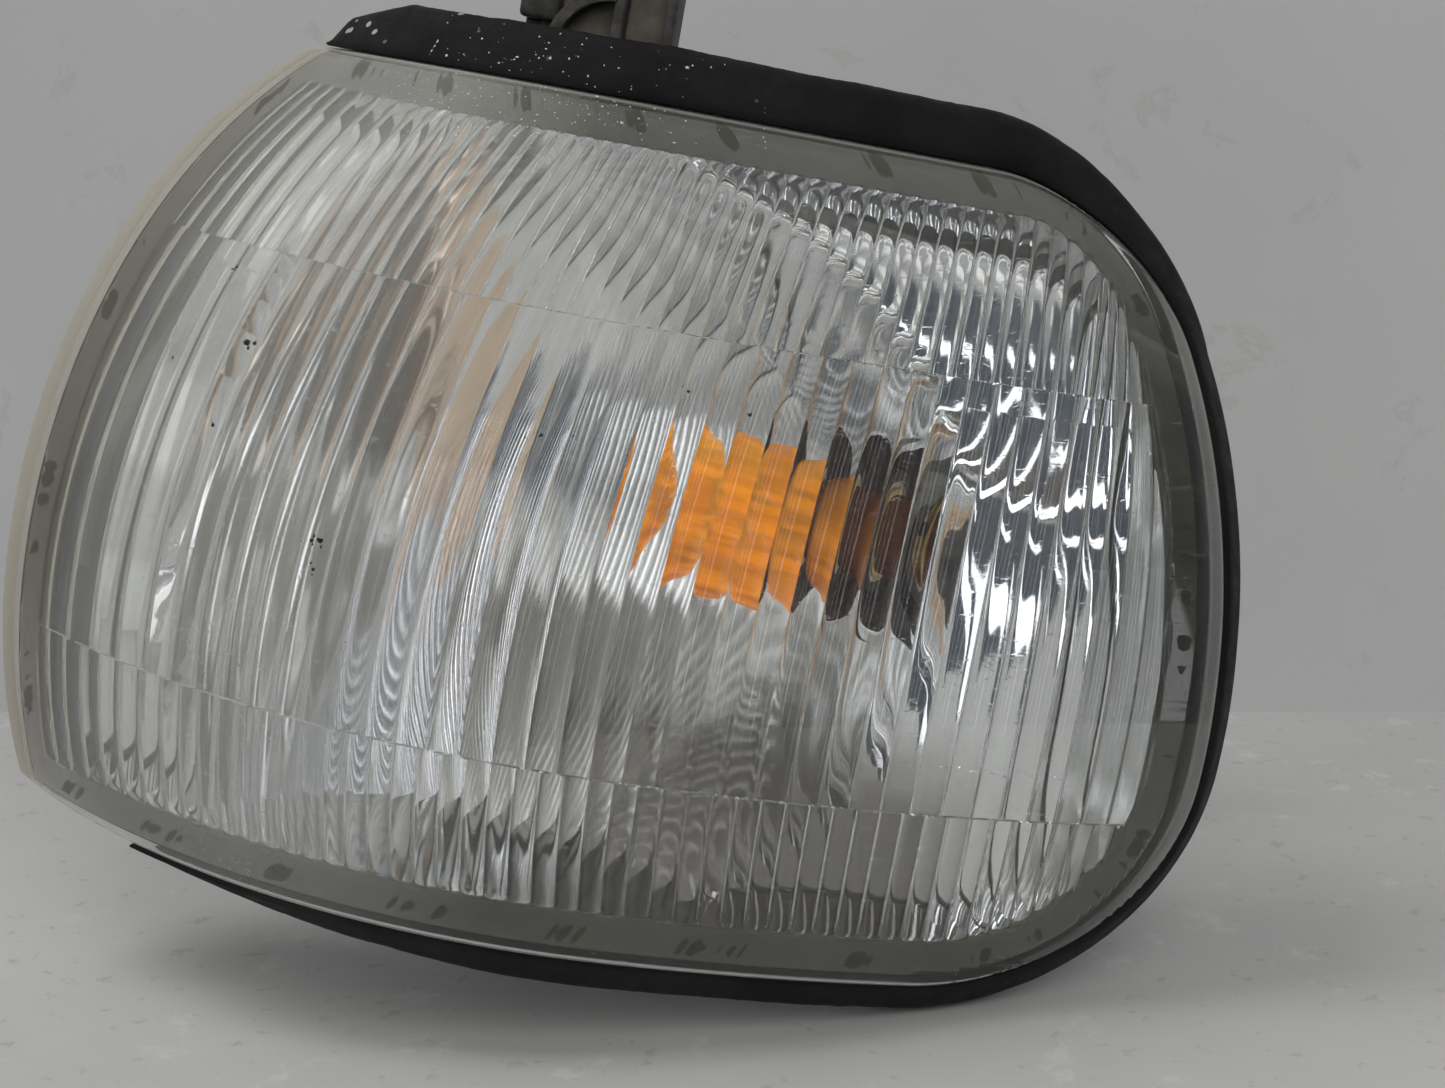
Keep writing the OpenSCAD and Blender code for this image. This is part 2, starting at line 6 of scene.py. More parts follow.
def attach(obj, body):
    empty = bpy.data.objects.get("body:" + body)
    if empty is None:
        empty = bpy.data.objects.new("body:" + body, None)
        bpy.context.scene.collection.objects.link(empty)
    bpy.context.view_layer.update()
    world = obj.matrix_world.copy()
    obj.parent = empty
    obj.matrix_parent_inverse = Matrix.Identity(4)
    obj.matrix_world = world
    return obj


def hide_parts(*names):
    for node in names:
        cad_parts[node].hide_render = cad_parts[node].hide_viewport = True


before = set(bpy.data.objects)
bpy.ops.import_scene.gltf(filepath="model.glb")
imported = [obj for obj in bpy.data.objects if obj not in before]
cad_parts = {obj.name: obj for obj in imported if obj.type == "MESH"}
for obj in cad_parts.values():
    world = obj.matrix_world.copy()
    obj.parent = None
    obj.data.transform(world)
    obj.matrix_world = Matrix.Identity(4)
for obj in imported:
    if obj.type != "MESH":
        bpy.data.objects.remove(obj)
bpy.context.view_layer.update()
MM = 0.001
rng = np.random.default_rng(11)

# ------------------------------------------------------------------ lamp surfaces (mm)
RA, RB = 272.0, 114.7
PH1, PH3 = math.radians(25.9), math.radians(84)
CA = np.array([90.0, 272.0])
CB = CA + (RA - RB) * np.array([-math.sin(PH1), -math.cos(PH1)])
UJ = RA * PH1
RV, BELLY = 102.7, -20.7
HH, XE, RT, RBC = 63.0, 60.9, 23.0, 38.7
WALL = 3.0
EV = np.array([math.cos(math.radians(-42)), math.sin(math.radians(-42)), 0.0])
DV = np.array([-EV[1], EV[0], 0.0])
D_OUT = [1.6, 5.0, 2.8, 6.0]
D_IN = [7.5, 10.2, 8.5, 12.0]
# middle of the bracket screw hole, the origin of the row frame
HOME = -73 * EV + 76 * DV + np.array([0, 0, 90.1])


def sag(z):
    d = np.asarray(z, float) - BELLY
    return RV - np.sqrt(RV * RV - d * d) + 0.02 * d


def slope(z):
    d = np.asarray(z, float) - BELLY
    return d / np.sqrt(RV * RV - d * d) + 0.02


def skin(u, z, h):
    u, z = np.broadcast_arrays(np.asarray(u, float), np.asarray(z, float))
    a = u < UJ
    f = np.where(a, u / RA, PH1 + (u - UJ) / RB)
    r = np.where(a, RA, RB) - sag(z) - h
    cx, cy = np.where(a, CA[0], CB[0]), np.where(a, CA[1], CB[1])
    return np.stack([cx - r * np.sin(f), cy - r * np.cos(f), z], -1)


def inner(u, z, s):
    return skin(u, z, s * np.sqrt(1 + slope(z) ** 2))


def u_of_x(x, z):
    return RA * np.arcsin((CA[0] - x) / (RA - sag(z)))


def u_front(z, d):
    return UJ + RB * (PH3 - PH1) + 0.0016 * (z + 20) ** 2 - d * RB / (RB - sag(z))


def u_rear(z, d):
    """rear limit of the lens outline at height z, inset d = [top, rear, bottom, front]"""
    z = np.asarray(z, float)
    zt, zb, xe = HH - d[0], -HH + d[2], XE - d[1]
    rt, rb = max(RT - max(d[0], d[1]), 3), max(RBC - max(d[1], d[2]), 3)
    x = np.full(z.shape, xe)
    t = z > zt - rt
    x[t] = xe - rt + np.sqrt(np.maximum(rt * rt - (z[t] - zt + rt) ** 2, 0))
    b = z < zb + rb
    x[b] = xe - rb + np.sqrt(np.maximum(rb * rb - (zb + rb - z[b]) ** 2, 0))
    return u_of_x(x, z)


def outline(d, nt=120, nc=40, nr=40, nl=80):
    zt, zb, xe = HH - d[0], -HH + d[2], XE - d[1]
    rt, rb = max(RT - max(d[0], d[1]), 3), max(RBC - max(d[1], d[2]), 3)
    out = []
    u0, u1 = float(u_front(zt, d[3])), float(u_of_x(xe - rt, zt))
    out += [(u0 + (u1 - u0) * i / nt, zt) for i in range(nt)]
    for i in range(nc):
        t = math.pi / 2 * i / nc
        z = zt - rt + rt * math.cos(t)
        out.append((float(u_of_x(xe - rt + rt * math.sin(t), z)), z))
    for i in range(nr):
        z = zt - rt + (zb + rb - zt + rt) * i / nr
        out.append((float(u_of_x(xe, z)), z))
    for i in range(nc):
        t = math.pi / 2 * i / nc
        z = zb + rb - rb * math.sin(t)
        out.append((float(u_of_x(xe - rb + rb * math.cos(t), z)), z))
    u0, u1 = float(u_front(zb, d[3])), float(u_of_x(xe - rb, zb))
    out += [(u1 + (u0 - u1) * i / nt, zb) for i in range(nt)]
    for i in range(nl):
        z = zb + (zt - zb) * i / nl
        out.append((float(u_front(z, d[3])), z))
    return np.array(out)


def sdf(u, z, poly):
    """distance inside (+) or outside (-) a closed outline"""
    p = np.stack([u.ravel(), z.ravel()], -1)
    a = poly
    b = np.roll(poly, -1, 0)
    best = np.full(len(p), 1e9)
    inside = np.zeros(len(p), bool)
    for k in range(len(a)):
        e = b[k] - a[k]
        w = p - a[k]
        t = np.clip((w @ e) / max(e @ e, 1e-12), 0, 1)
        q = w - t[:, None] * e
        best = np.minimum(best, (q * q).sum(1))
        c = (a[k][1] > p[:, 1]) != (b[k][1] > p[:, 1])
        if c.any():
            xi = a[k][0] + (p[:, 1] - a[k][1]) * e[0] / (e[1] if abs(e[1]) > 1e-12 else 1e-12)
            inside ^= c & (p[:, 0] < xi)
    return (np.sqrt(best) * np.where(inside, 1, -1)).reshape(u.shape)


def lean(f):
    return np.interp(np.degrees(f), [0, 8, 13, 24, 32, 48, 64, 72], [0, 0, -0.5, -0.5, -0.44, -0.3, -0.14, 0])


def line_at(L, z):
    """arc position at height z of the flute line that starts at L"""
    L, z = np.broadcast_arrays(np.asarray(L, float), np.asarray(z, float))
    p = sag(z)
    on_a = L < UJ
    f0 = np.where(on_a, L / RA, PH1 + (L - UJ) / RB)
    T = lean(f0)
    fa = f0 - T * np.log(1 - p / RA)
    fb = f0 - T * np.log(1 - p / RB)
    Ts = np.where(np.abs(T) < 1e-6, -1e-6, T)
    # a line that starts on the front part and crosses onto the side part
    ps = RB * (1 - np.exp(np.clip((f0 - PH1) / Ts, -30, 30)))
    cross = (~on_a) & (p > ps)
    fc = PH1 - T * (np.log(RA - p) - np.log(np.maximum(RA - ps, 1)))
    f = np.where(on_a, fa, np.where(cross, fc, fb))
    return np.where(f < PH1, f * RA, UJ + (f - PH1) * RB)


def smax(a, b, k):
    return (a + b + np.sqrt((a - b) ** 2 + k * k)) / 2


def bowl(e, z):
    ca, sa = math.cos(math.radians(46)), math.sin(math.radians(46))
    h = (z - 2.5) ** 2 / 100
    d = sa * sa - 4 * ca / 100 * (e + 14.5 + ca * h)
    s = (np.sqrt(np.maximum(d, 0)) - sa) * 50 / ca
    return 51.5 - sa * (s * s / 100 + h) + ca * s - 0.022 * np.maximum(-70 - e, 0) ** 2


def wall(e):
    return 33.5 + 0.38 * (e + 3) - 0.9 * np.maximum(-28 - e, 0) + 0.22 * np.maximum(e - 12, 0)


def sunk(P, ledge, more):
    e, q = P @ EV, P @ DV
    dep = smax(q + ledge, smax(bowl(e, P[..., 2]), wall(e), 4), 1.5)
    more = more * (1 + 0.009 * np.maximum(-60 - e, 0))
    return P + (dep + more - q)[..., None] * DV


# ------------------------------------------------------------------ mesh helpers
def new_obj(name, verts, faces, smooth=True, scale=MM):
    me = bpy.data.meshes.new(name)
    me.from_pydata(((np.asarray(verts) - HOME) * scale).tolist(), [], faces if isinstance(faces, list) else faces.tolist())
    me.validate()
    me.update()
    if smooth:
        me.polygons.foreach_set("use_smooth", [True] * len(me.polygons))
    o = bpy.data.objects.new(name, me)
    bpy.context.scene.collection.objects.link(o)
    return o


def quads(m, n, wrap_n=False, wrap_m=False, base=0, flip=False):
    i = np.arange(m if wrap_m else m - 1)[:, None]
    j = np.arange(n if wrap_n else n - 1)[None, :]
    i2, j2 = (i + 1) % m, (j + 1) % n
    f = np.stack([i * n + j, i * n + j2 + 0 * i, i2 * n + j2, i2 * n + j], -1).reshape(-1, 4) + base
    return f[:, ::-1] if flip else f


def set_attr(o, name, values):
    a = o.data.attributes.new(name, "FLOAT", "POINT")
    a.data.foreach_set("value", np.asarray(values, np.float32).ravel())


def edit(o, fn):
    bm = bmesh.new()
    bm.from_mesh(o.data)
    fn(bm)
    bm.to_mesh(o.data)
    bm.free()
    o.data.update()


def sharp_by_angle(o, deg):
    bm = bmesh.new()
    bm.from_mesh(o.data)
    lim = math.radians(deg)
    for e in bm.edges:
        if len(e.link_faces) == 2 and e.calc_face_angle(0) > lim:
            e.smooth = False
    bm.to_mesh(o.data)
    bm.free()


def shade(o, m):
    o.data.materials.clear()
    o.data.materials.append(m)
    return o


def place(o, body, replaces=()):
    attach(o, body)
    if replaces:
        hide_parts(*replaces)
    return o


# ------------------------------------------------------------------ node helpers
class Mat:
    def __init__(self, name, world=False):
        if world:
            self.m = bpy.data.worlds.new(name)
        else:
            self.m = bpy.data.materials.new(name)
        self.m.use_nodes = True
        self.nt = self.m.node_tree
        self.nt.nodes.clear()

    def n(self, kind, ins=None, **props):
        nd = self.nt.nodes.new(kind)
        for k, v in props.items():
            setattr(nd, k, v)
        for k, v in (ins or {}).items():
            s = nd.inputs[k]
            if isinstance(v, bpy.types.NodeSocket):
                self.nt.links.new(v, s)
            else:
                s.default_value = v
        return nd

    def ramp(self, fac, stops, mode="LINEAR"):
        nd = self.n("ShaderNodeValToRGB", {0: fac})
        cr = nd.color_ramp
        cr.interpolation = mode
        while len(cr.elements) < len(stops):
            cr.elements.new(0.5)
        for el, (p, c) in zip(cr.elements, stops):
            el.position = p
            el.color = (c, c, c, 1) if isinstance(c, (int, float)) else (*c, 1)
        return nd.outputs[0]

    def math(self, op, a, b=0.0, c=0.0, clamp=False):
        nd = self.n("ShaderNodeMath", {0: a, 1: b, 2: c}, operation=op, use_clamp=clamp)
        return nd.outputs[0]

    def mix(self, fac, a, b):
        nd = self.n("ShaderNodeMix", {}, data_type="RGBA")
        for k, v in ((0, fac), (6, a), (7, b)):
            if isinstance(v, bpy.types.NodeSocket):
                self.nt.links.new(v, nd.inputs[k])
            else:
                nd.inputs[k].default_value = v if isinstance(v, (int, float)) else (*v, 1)[:4]
        return nd.outputs[2]

    def noise(self, scale, detail=4.0, rough=0.55, vec=None, dist=0.0):
        ins = {"Scale": scale, "Detail": detail, "Roughness": rough, "Distortion": dist}
        if vec is not None:
            ins["Vector"] = vec
        return self.n("ShaderNodeTexNoise", ins).outputs[0]

    def pos(self):
        return self.n("ShaderNodeNewGeometry").outputs["Position"]

    def objpos(self):
        return self.n("ShaderNodeTexCoord").outputs["Object"]

    def shader_mix(self, fac, a, b):
        return self.n("ShaderNodeMixShader", {0: fac, 1: a, 2: b}).outputs[0]

    def out(self, surf, vol=None, world=False):
        o = self.n("ShaderNodeOutputWorld" if world else "ShaderNodeOutputMaterial", {"Surface": surf})
        if vol is not None:
            self.nt.links.new(vol, o.inputs["Volume"])
        return self.m


def worn(name, c1, c2, scale=60.0, rough=(0.45, 0.6), bump=0.15, metallic=0.0, fine=900.0, dust=0.0,
         dust_col=(0.55, 0.54, 0.5), edge=0.0, spec=0.5, coat=0.0, trans=0.0, ior=1.45):
    """Mottled solid finish: two tones by noise, uneven roughness, fine bump, optional settled dust and bevelled edges."""
    m = Mat(name)
    v = m.objpos()
    a = m.noise(scale, 5, 0.6, v)
    b = m.noise(scale * 6, 4, 0.6, v)
    fac = m.math("MULTIPLY_ADD", b, 0.35, m.math("MULTIPLY", a, 0.75))
    col = m.mix(m.ramp(fac, [(0.38, 0.0), (0.68, 1.0)]), c1, c2)
    if dust:
        up = m.n("ShaderNodeSeparateXYZ", {0: m.n("ShaderNodeNewGeometry").outputs["Normal"]}).outputs[2]
        d = m.math("MULTIPLY", m.ramp(up, [(0.2, 0.25), (0.9, 1.0)]), m.ramp(b, [(0.42, 0.0), (0.75, 1.0)]))
        col = m.mix(m.math("MULTIPLY", d, dust), col, dust_col)
    r = m.n("ShaderNodeMapRange", {0: a, 1: 0.3, 2: 0.7, 3: rough[0], 4: rough[1]}).outputs[0]
    f = m.noise(fine, 3, 0.6, v)
    ins = {"Height": f, "Strength": bump, "Distance": 0.0004}
    if edge:
        ins["Normal"] = m.n("ShaderNodeBevel", {"Radius": edge}, samples=4).outputs[0]
    nrm = m.n("ShaderNodeBump", ins).outputs[0]
    p = m.n("ShaderNodeBsdfPrincipled", {"Base Color": col, "Roughness": r, "Metallic": metallic, "Normal": nrm,
                                         "Specular IOR Level": spec, "Coat Weight": coat, "Transmission Weight": trans, "IOR": ior})
    return m.out(p.outputs[0])


# ------------------------------------------------------------------ lens
FWD = np.array([0.577284, 0.795613, -0.183695])
CAMP = np.array([-189.604, -205.643, 57.924])


def flute_lines(first, pitch_a, pitch_b, lo=20.0, hi=256.0):
    a = [first + pitch_a * k for k in range(-20, 60)]
    a = [x for x in a if lo <= x <= 124.0]
    x = a[-1] + pitch_b
    while x < hi:
        a.append(x)
        x += pitch_b if x < 196 else pitch_b / 0.8
    return np.array(a)


MID_L = flute_lines(55.1, 4.94, 4.78)
OUT_L = flute_lines(55.1, 3.70, 3.58)
Z_UP, Z_DN = 30.6, -32.3


def build_lens():
    sub = 12
    O0, O1, O2 = outline([0, 0, 0, 0]), outline(D_OUT), outline(D_IN)
    zones = [(-63.0, Z_DN, OUT_L), (Z_DN, Z_UP, MID_L), (Z_UP, 63.0, OUT_L)]

    def rows(z0, z1):
        if z0 < -60:
            return np.concatenate([np.linspace(-63, -60.6, 8), np.linspace(-60.2, -56.6, 5), np.linspace(-56.2, -49.5, 22), np.linspace(-48, Z_DN - 0.5, 10), [Z_DN - 0.12]])
        if z1 > 60:
            return np.concatenate([[Z_UP + 0.12], np.linspace(Z_UP + 0.5, 48, 12), np.linspace(48.8, 57, 24), np.linspace(57.4, 60.2, 5), np.linspace(60.6, 63, 8)])
        return np.concatenate([[Z_DN + 0.12, Z_DN + 0.5], np.linspace(Z_DN + 2, Z_UP - 2, 34), [Z_UP - 0.5, Z_UP - 0.12]])

    front_v, back_v, faces = [], [], []
    base = 0
    rim_attr, opt_attr = [], []
    edges = {"l": [], "r": [], "b": None, "t": None}
    prev = None
    allrows = []
    for zi, (z0, z1, L) in enumerate(zones):
        zr = rows(z0, z1)
        t = np.arange(sub * (len(L) - 1) + 1) / sub
        k = np.minimum(t.astype(int), len(L) - 2)
        fr = t - k
        Lc = L[k] + (L[k + 1] - L[k]) * fr
        g = 2 * fr - 1
        U = line_at(Lc[None, :], zr[:, None])
        ur = u_rear(zr, [0, 0, 0, 0])[:, None]
        uf = u_front(zr, 0)[:, None]
        U = np.clip(U, ur, uf)
        # end columns follow the outline exactly
        U[:, 0] = ur[:, 0]
        U[:, -1] = uf[:, 0]
        Z = np.broadcast_to(zr[:, None], U.shape)
        allrows.append((zr, U, Z, np.broadcast_to(g, U.shape), zi))
    V, F, AR, AO, AF = [], [], [], [], []
    off = 0
    strips = []
    for zr, U, Z, g, zi in allrows:
        d0, d1, d2 = sdf(U, Z, O0), sdf(U, Z, O1), sdf(U, Z, O2)
        # outer skin: rounded rim
        r = 1.9
        dd = np.clip(d0, 0, r)
        h_out = r - np.sqrt(np.maximum(r * r - (r - dd) ** 2, 0))
        P0 = inner(U, Z, h_out)
        # inner skin: flutes with rounded ends inside the optical area, a leg round the outline
        w = 2.4 if zi == 1 else 1.8
        if zi == 1:
            e = np.clip(1 - d2 / w, 0, 1)
            H, b0 = 0.80, 0.0
        else:
            e = np.clip(1 - d2 / w, 0, 1)
            H, b0 = 0.72, -0.35
        body = H * (np.sqrt(np.maximum(1.25 - g * g - e * e, 0.25)) - 0.5)
        on = np.clip(d2 / 0.25, 0, 1)
        s_in = WALL + on * (b0 + body) - 0.25 * (1 - on)
        leg = np.clip(-d1 / 0.35, 0, 1)
        s_in = s_in * (1 - leg) + leg * (WALL + 3.4)
        s_in = np.maximum(s_in, h_out + 0.3)
        P1 = inner(U, Z, s_in)
        m, n = U.shape
        V += [P0.reshape(-1, 3), P1.reshape(-1, 3)]
        F.append(quads(m, n, base=off, flip=False))
        F.append(quads(m, n, base=off + m * n, flip=True))
        AR += [np.clip(1 - d0.ravel() / 6, 0, 1)] * 2
        AO += [on.ravel()] * 2
        AF += [(u_front(zr, 0)[:, None] - U).ravel()] * 2
        strips.append((off, m, n))
        off += 2 * m * n
    V = np.concatenate(V)
    F = np.concatenate(F)
    extra = []
    for k, (o, m, n) in enumerate(strips):
        # closing walls at the rear and front ends
        for i in range(m - 1):
            a, b = o + i * n, o + (i + 1) * n
            extra.append((a, b, b + m * n, a + m * n))
            a, b = o + i * n + n - 1, o + (i + 1) * n + n - 1
            extra.append((b, a, a + m * n, b + m * n))
        if k == 0:
            for j in range(n - 1):
                extra.append((o + j + 1, o + j, o + j + m * n, o + j + 1 + m * n))
        if k == 2:
            b = o + (m - 1) * n
            for j in range(n - 1):
                extra.append((b + j, b + j + 1, b + j + 1 + m * n, b + j + m * n))
    # strips between zones: nearest-column bridging as triangles
    tris = []

    def bridge(ra, rb, flip):
        A, B = V[ra], V[rb]
        i = j = 0
        while i < len(ra) - 1 or j < len(rb) - 1:
            if j >= len(rb) - 1 or (i < len(ra) - 1 and np.linalg.norm(A[i + 1] - B[j]) <= np.linalg.norm(A[i] - B[j + 1])):
                t = (ra[i], ra[i + 1], rb[j])
                i += 1
            else:
                t = (ra[i], rb[j + 1], rb[j])
                j += 1
            tris.append(t[::-1] if flip else t)

    for k in (0, 1):
        o, m, n = strips[k]
        o2, m2, n2 = strips[k + 1]
        bridge(np.arange(n) + o + (m - 1) * n, np.arange(n2) + o2, False)
        bridge(np.arange(n) + o + m * n + (m - 1) * n, np.arange(n2) + o2 + m2 * n2, True)
        for c, c2, fl in ((0, 0, False), (n - 1, n2 - 1, True)):
            a, b = o + (m - 1) * n + c, o2 + c2
            a1, b1 = a + m * n, o2 + m2 * n2 + c2
            q = (a, b, b1, a1)
            extra.append(q[::-1] if fl else q)
    faces = F.tolist() + extra + [tuple(int(x) for x in t) for t in tris]
    o = new_obj("lens_outer", V, faces)
    set_attr(o, "rim", np.concatenate(AR))
    set_attr(o, "optic", np.concatenate(AO))
    set_attr(o, "front", np.concatenate(AF))

    def tidy(bm):
        bmesh.ops.remove_doubles(bm, verts=bm.verts, dist=2e-6)
        bmesh.ops.dissolve_degenerate(bm, edges=bm.edges, dist=1e-6)
        bmesh.ops.recalc_face_normals(bm, faces=bm.faces)
        lim = math.radians(24)
        for e in bm.edges:
            if len(e.link_faces) == 2 and e.calc_face_angle(0) > lim:
                e.smooth = False
    edit(o, tidy)
    return o


def lens_material():
    m = Mat("lens_clear_plastic")
    v = m.objpos()
    rim = m.n("ShaderNodeAttribute", attribute_name="rim").outputs["Fac"]
    fr = m.math("MULTIPLY", m.n("ShaderNodeAttribute", attribute_name="front").outputs["Fac"], 0.01)
    haze_n = m.ramp(m.noise(45, 6, 0.6, v), [(0.45, 0.0), (0.8, 1.0)])
    # fine scratches: stretched noise in two directions
    mp = m.n("ShaderNodeMapping", {"Vector": v, "Rotation": (0.3, 0.2, 0.9), "Scale": (30, 900, 900)}).outputs[0]
    mp2 = m.n("ShaderNodeMapping", {"Vector": v, "Rotation": (0.1, 1.1, -0.5), "Scale": (25, 1100, 1100)}).outputs[0]
    sc = m.math("MAXIMUM", m.ramp(m.noise(1.0, 3, 0.5, mp), [(0.66, 0.0), (0.73, 1.0)]), m.ramp(m.noise(1.0, 2, 0.5, mp2), [(0.68, 0.0), (0.73, 0.8)]))
    bump = m.n("ShaderNodeBump", {"Height": sc, "Strength": 0.12, "Distance": 0.0001}).outputs[0]
    glass = m.n("ShaderNodeBsdfGlass", {"Color": (0.985, 0.99, 0.985, 1), "Roughness": 0.008, "IOR": 1.5, "Normal": bump}).outputs[0]
    frost_c = m.mix(m.ramp(fr, [(0.0, 1.0), (0.12, 1.0), (0.2, 0.0)]), (0.88, 0.88, 0.84), (0.66, 0.61, 0.52))
    dif = m.n("ShaderNodeBsdfDiffuse", {"Color": frost_c}).outputs[0]
    trl = m.n("ShaderNodeBsdfTranslucent", {"Color": frost_c}).outputs[0]
    hz = m.shader_mix(0.5, dif, trl)
    f = m.math("MULTIPLY_ADD", haze_n, 0.016, 0.004)
    f = m.math("ADD", f, m.ramp(fr, [(0.0, 0.62), (0.055, 0.55), (0.068, 0.12), (0.30, 0.15), (0.60, 0.21), (1.0, 0.02)]))
    f = m.math("ADD", f, m.ramp(rim, [(0.0, 0.0), (0.6, 0.01), (0.84, 0.03), (0.93, 0.5), (1.0, 0.6)]))
    f = m.math("ADD", f, m.math("MULTIPLY", sc, 0.10), clamp=True)
    body = m.shader_mix(f, glass, hz)
    lp = m.n("ShaderNodeLightPath")
    tr = m.n("ShaderNodeBsdfTransparent", {"Color": (0.90, 0.91, 0.90, 1)}).outputs[0]
    fac = m.math("MAXIMUM", lp.outputs["Is Shadow Ray"], lp.outputs["Is Diffuse Ray"])
    return m.out(m.shader_mix(fac, body, tr))


# ------------------------------------------------------------------ sealant, reflector, housing
def loop_pts(d, s, n=(160, 48, 40, 48, 160, 110)):
    nt, nc, nr, _, _, nl = n
    q = outline(d, nt, nc, nr, nl)
    return q, inner(q[:, 0], q[:, 1], s)


def build_sealant():
    k = 14
    Q0, Q1 = outline([x - 0.25 for x in D_OUT], 220, 60, 50, 120), outline([x + 0.4 for x in D_IN], 220, 60, 50, 120)
    P = []
    n = len(Q0)
    ph = np.arange(n) / n * 2 * np.pi
    wob = 0.35 * np.sin(ph * 23) + 0.25 * np.sin(ph * 57 + 1.3) + 0.2 * rng.standard_normal(n)
    for i in range(k + 1):
        t = i / k
        q = Q0 * (1 - t) + Q1 * t
        s = WALL - 0.22 + 0.10 * wob * math.sin(math.pi * t) + 0.25 * t ** 6
        P.append(inner(q[:, 0], q[:, 1], s))
    for i in range(5):
        t = 1 - i / 4
        q = Q0 * (1 - t) + Q1 * t
        P.append(inner(q[:, 0], q[:, 1], WALL + 1.6 + 0.0 * t))
    P = np.array(P)
    m = len(P)
    o = new_obj("sealant_band", P.reshape(-1, 3), quads(m, n, wrap_n=True, wrap_m=True))
    edit(o, lambda bm: bmesh.ops.recalc_face_normals(bm, faces=bm.faces))
    return o


def sealant_material():
    m = Mat("sealant_olive")
    v = m.objpos()
    a = m.noise(70, 6, 0.65, v)
    b = m.noise(420, 4, 0.6, v)
    c = m.mix(m.ramp(a, [(0.35, 0.0), (0.65, 1.0)]), (0.015, 0.014, 0.008), (0.034, 0.032, 0.019))
    c = m.mix(m.ramp(b, [(0.5, 0.0), (0.8, 0.6)]), c, (0.018, 0.017, 0.012))
    bump = m.n("ShaderNodeBump", {"Height": a, "Strength": 0.12, "Distance": 0.0003}).outputs[0]
    p = m.n("ShaderNodeBsdfPrincipled", {"Base Color": c, "Roughness": 0.55, "Normal": bump, "Specular IOR Level": 0.3})
    return m.out(p.outputs[0])


MID_UZ = np.array([118.0, -2.0])


def bowl_rows(d, ws, s, ledge, more, n=(150, 44, 40, 90)):
    q0 = outline(d, *n)
    out = []
    for w in ws:
        q = q0 + (MID_UZ - q0) * w
        out.append(sunk(inner(q[:, 0], q[:, 1], s), ledge, more))
    return np.array(out), q0


BO = np.array([23.7, 48.0, 2.5])
BA = np.array([math.cos(math.radians(8)), -math.sin(math.radians(8)), 0.0])
BY = np.array([-BA[1], BA[0], 0.0])


def axis_r(P):
    d = P - BO
    t = d @ BA
    r = d - t[..., None] * BA
    return t, np.linalg.norm(r, axis=-1), r


def punch(P, F, rad):
    """drop faces inside the bulb hole and pull the boundary onto the circle"""
    t, r, rv = axis_r(P)
    inside = (r < rad) & (t > -24) & (t < 40)
    keep = ~np.all(inside[F], axis=1)
    F2 = F[keep]
    used = np.unique(F2)
    mv = np.intersect1d(used, np.nonzero(inside)[0])
    P = P.copy()
    P[mv] += rv[mv] / np.maximum(r[mv], 1e-6)[:, None] * (rad - r[mv])[:, None]
    return P, F2


def build_reflector():
    nw = 110
    ws = 1 - (1 - np.linspace(0.0, 0.995, nw)) ** 1.0
    n = ((230, 60, 60, 130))
    d = [x + 0.1 for x in D_IN]
    F0 = WALL + 1.85
    R, q0 = bowl_rows(d, ws, F0, 5, 0, n)
    first = inner(q0[:, 0], q0[:, 1], F0)
    R = np.concatenate([first[None], R])
    m, k = R.shape[:2]
    P = R.reshape(-1, 3)
    F = quads(m, k, wrap_n=True)
    cen = len(P)
    P = np.vstack([P, R[-1].mean(0)])
    P2, F2 = punch(P, F, 15.5)
    cap = [(cen, (m - 1) * k + j, (m - 1) * k + (j + 1) % k) for j in range(k)]
    o = new_obj("reflector_bright", P2, F2.tolist() + cap)
    qs = [q0] + [q0 + (MID_UZ - q0) * w for w in ws]
    qa = np.concatenate([(u_front(q[:, 1], 0) - q[:, 0]) for q in qs] + [np.array([120.0])])
    set_attr(o, "front", qa)

    def tidy(bm):
        bmesh.ops.delete(bm, geom=[v for v in bm.verts if not v.link_faces], context="VERTS")
        bmesh.ops.recalc_face_normals(bm, faces=bm.faces)
    edit(o, tidy)
    sharp_by_angle(o, 38)
    return o


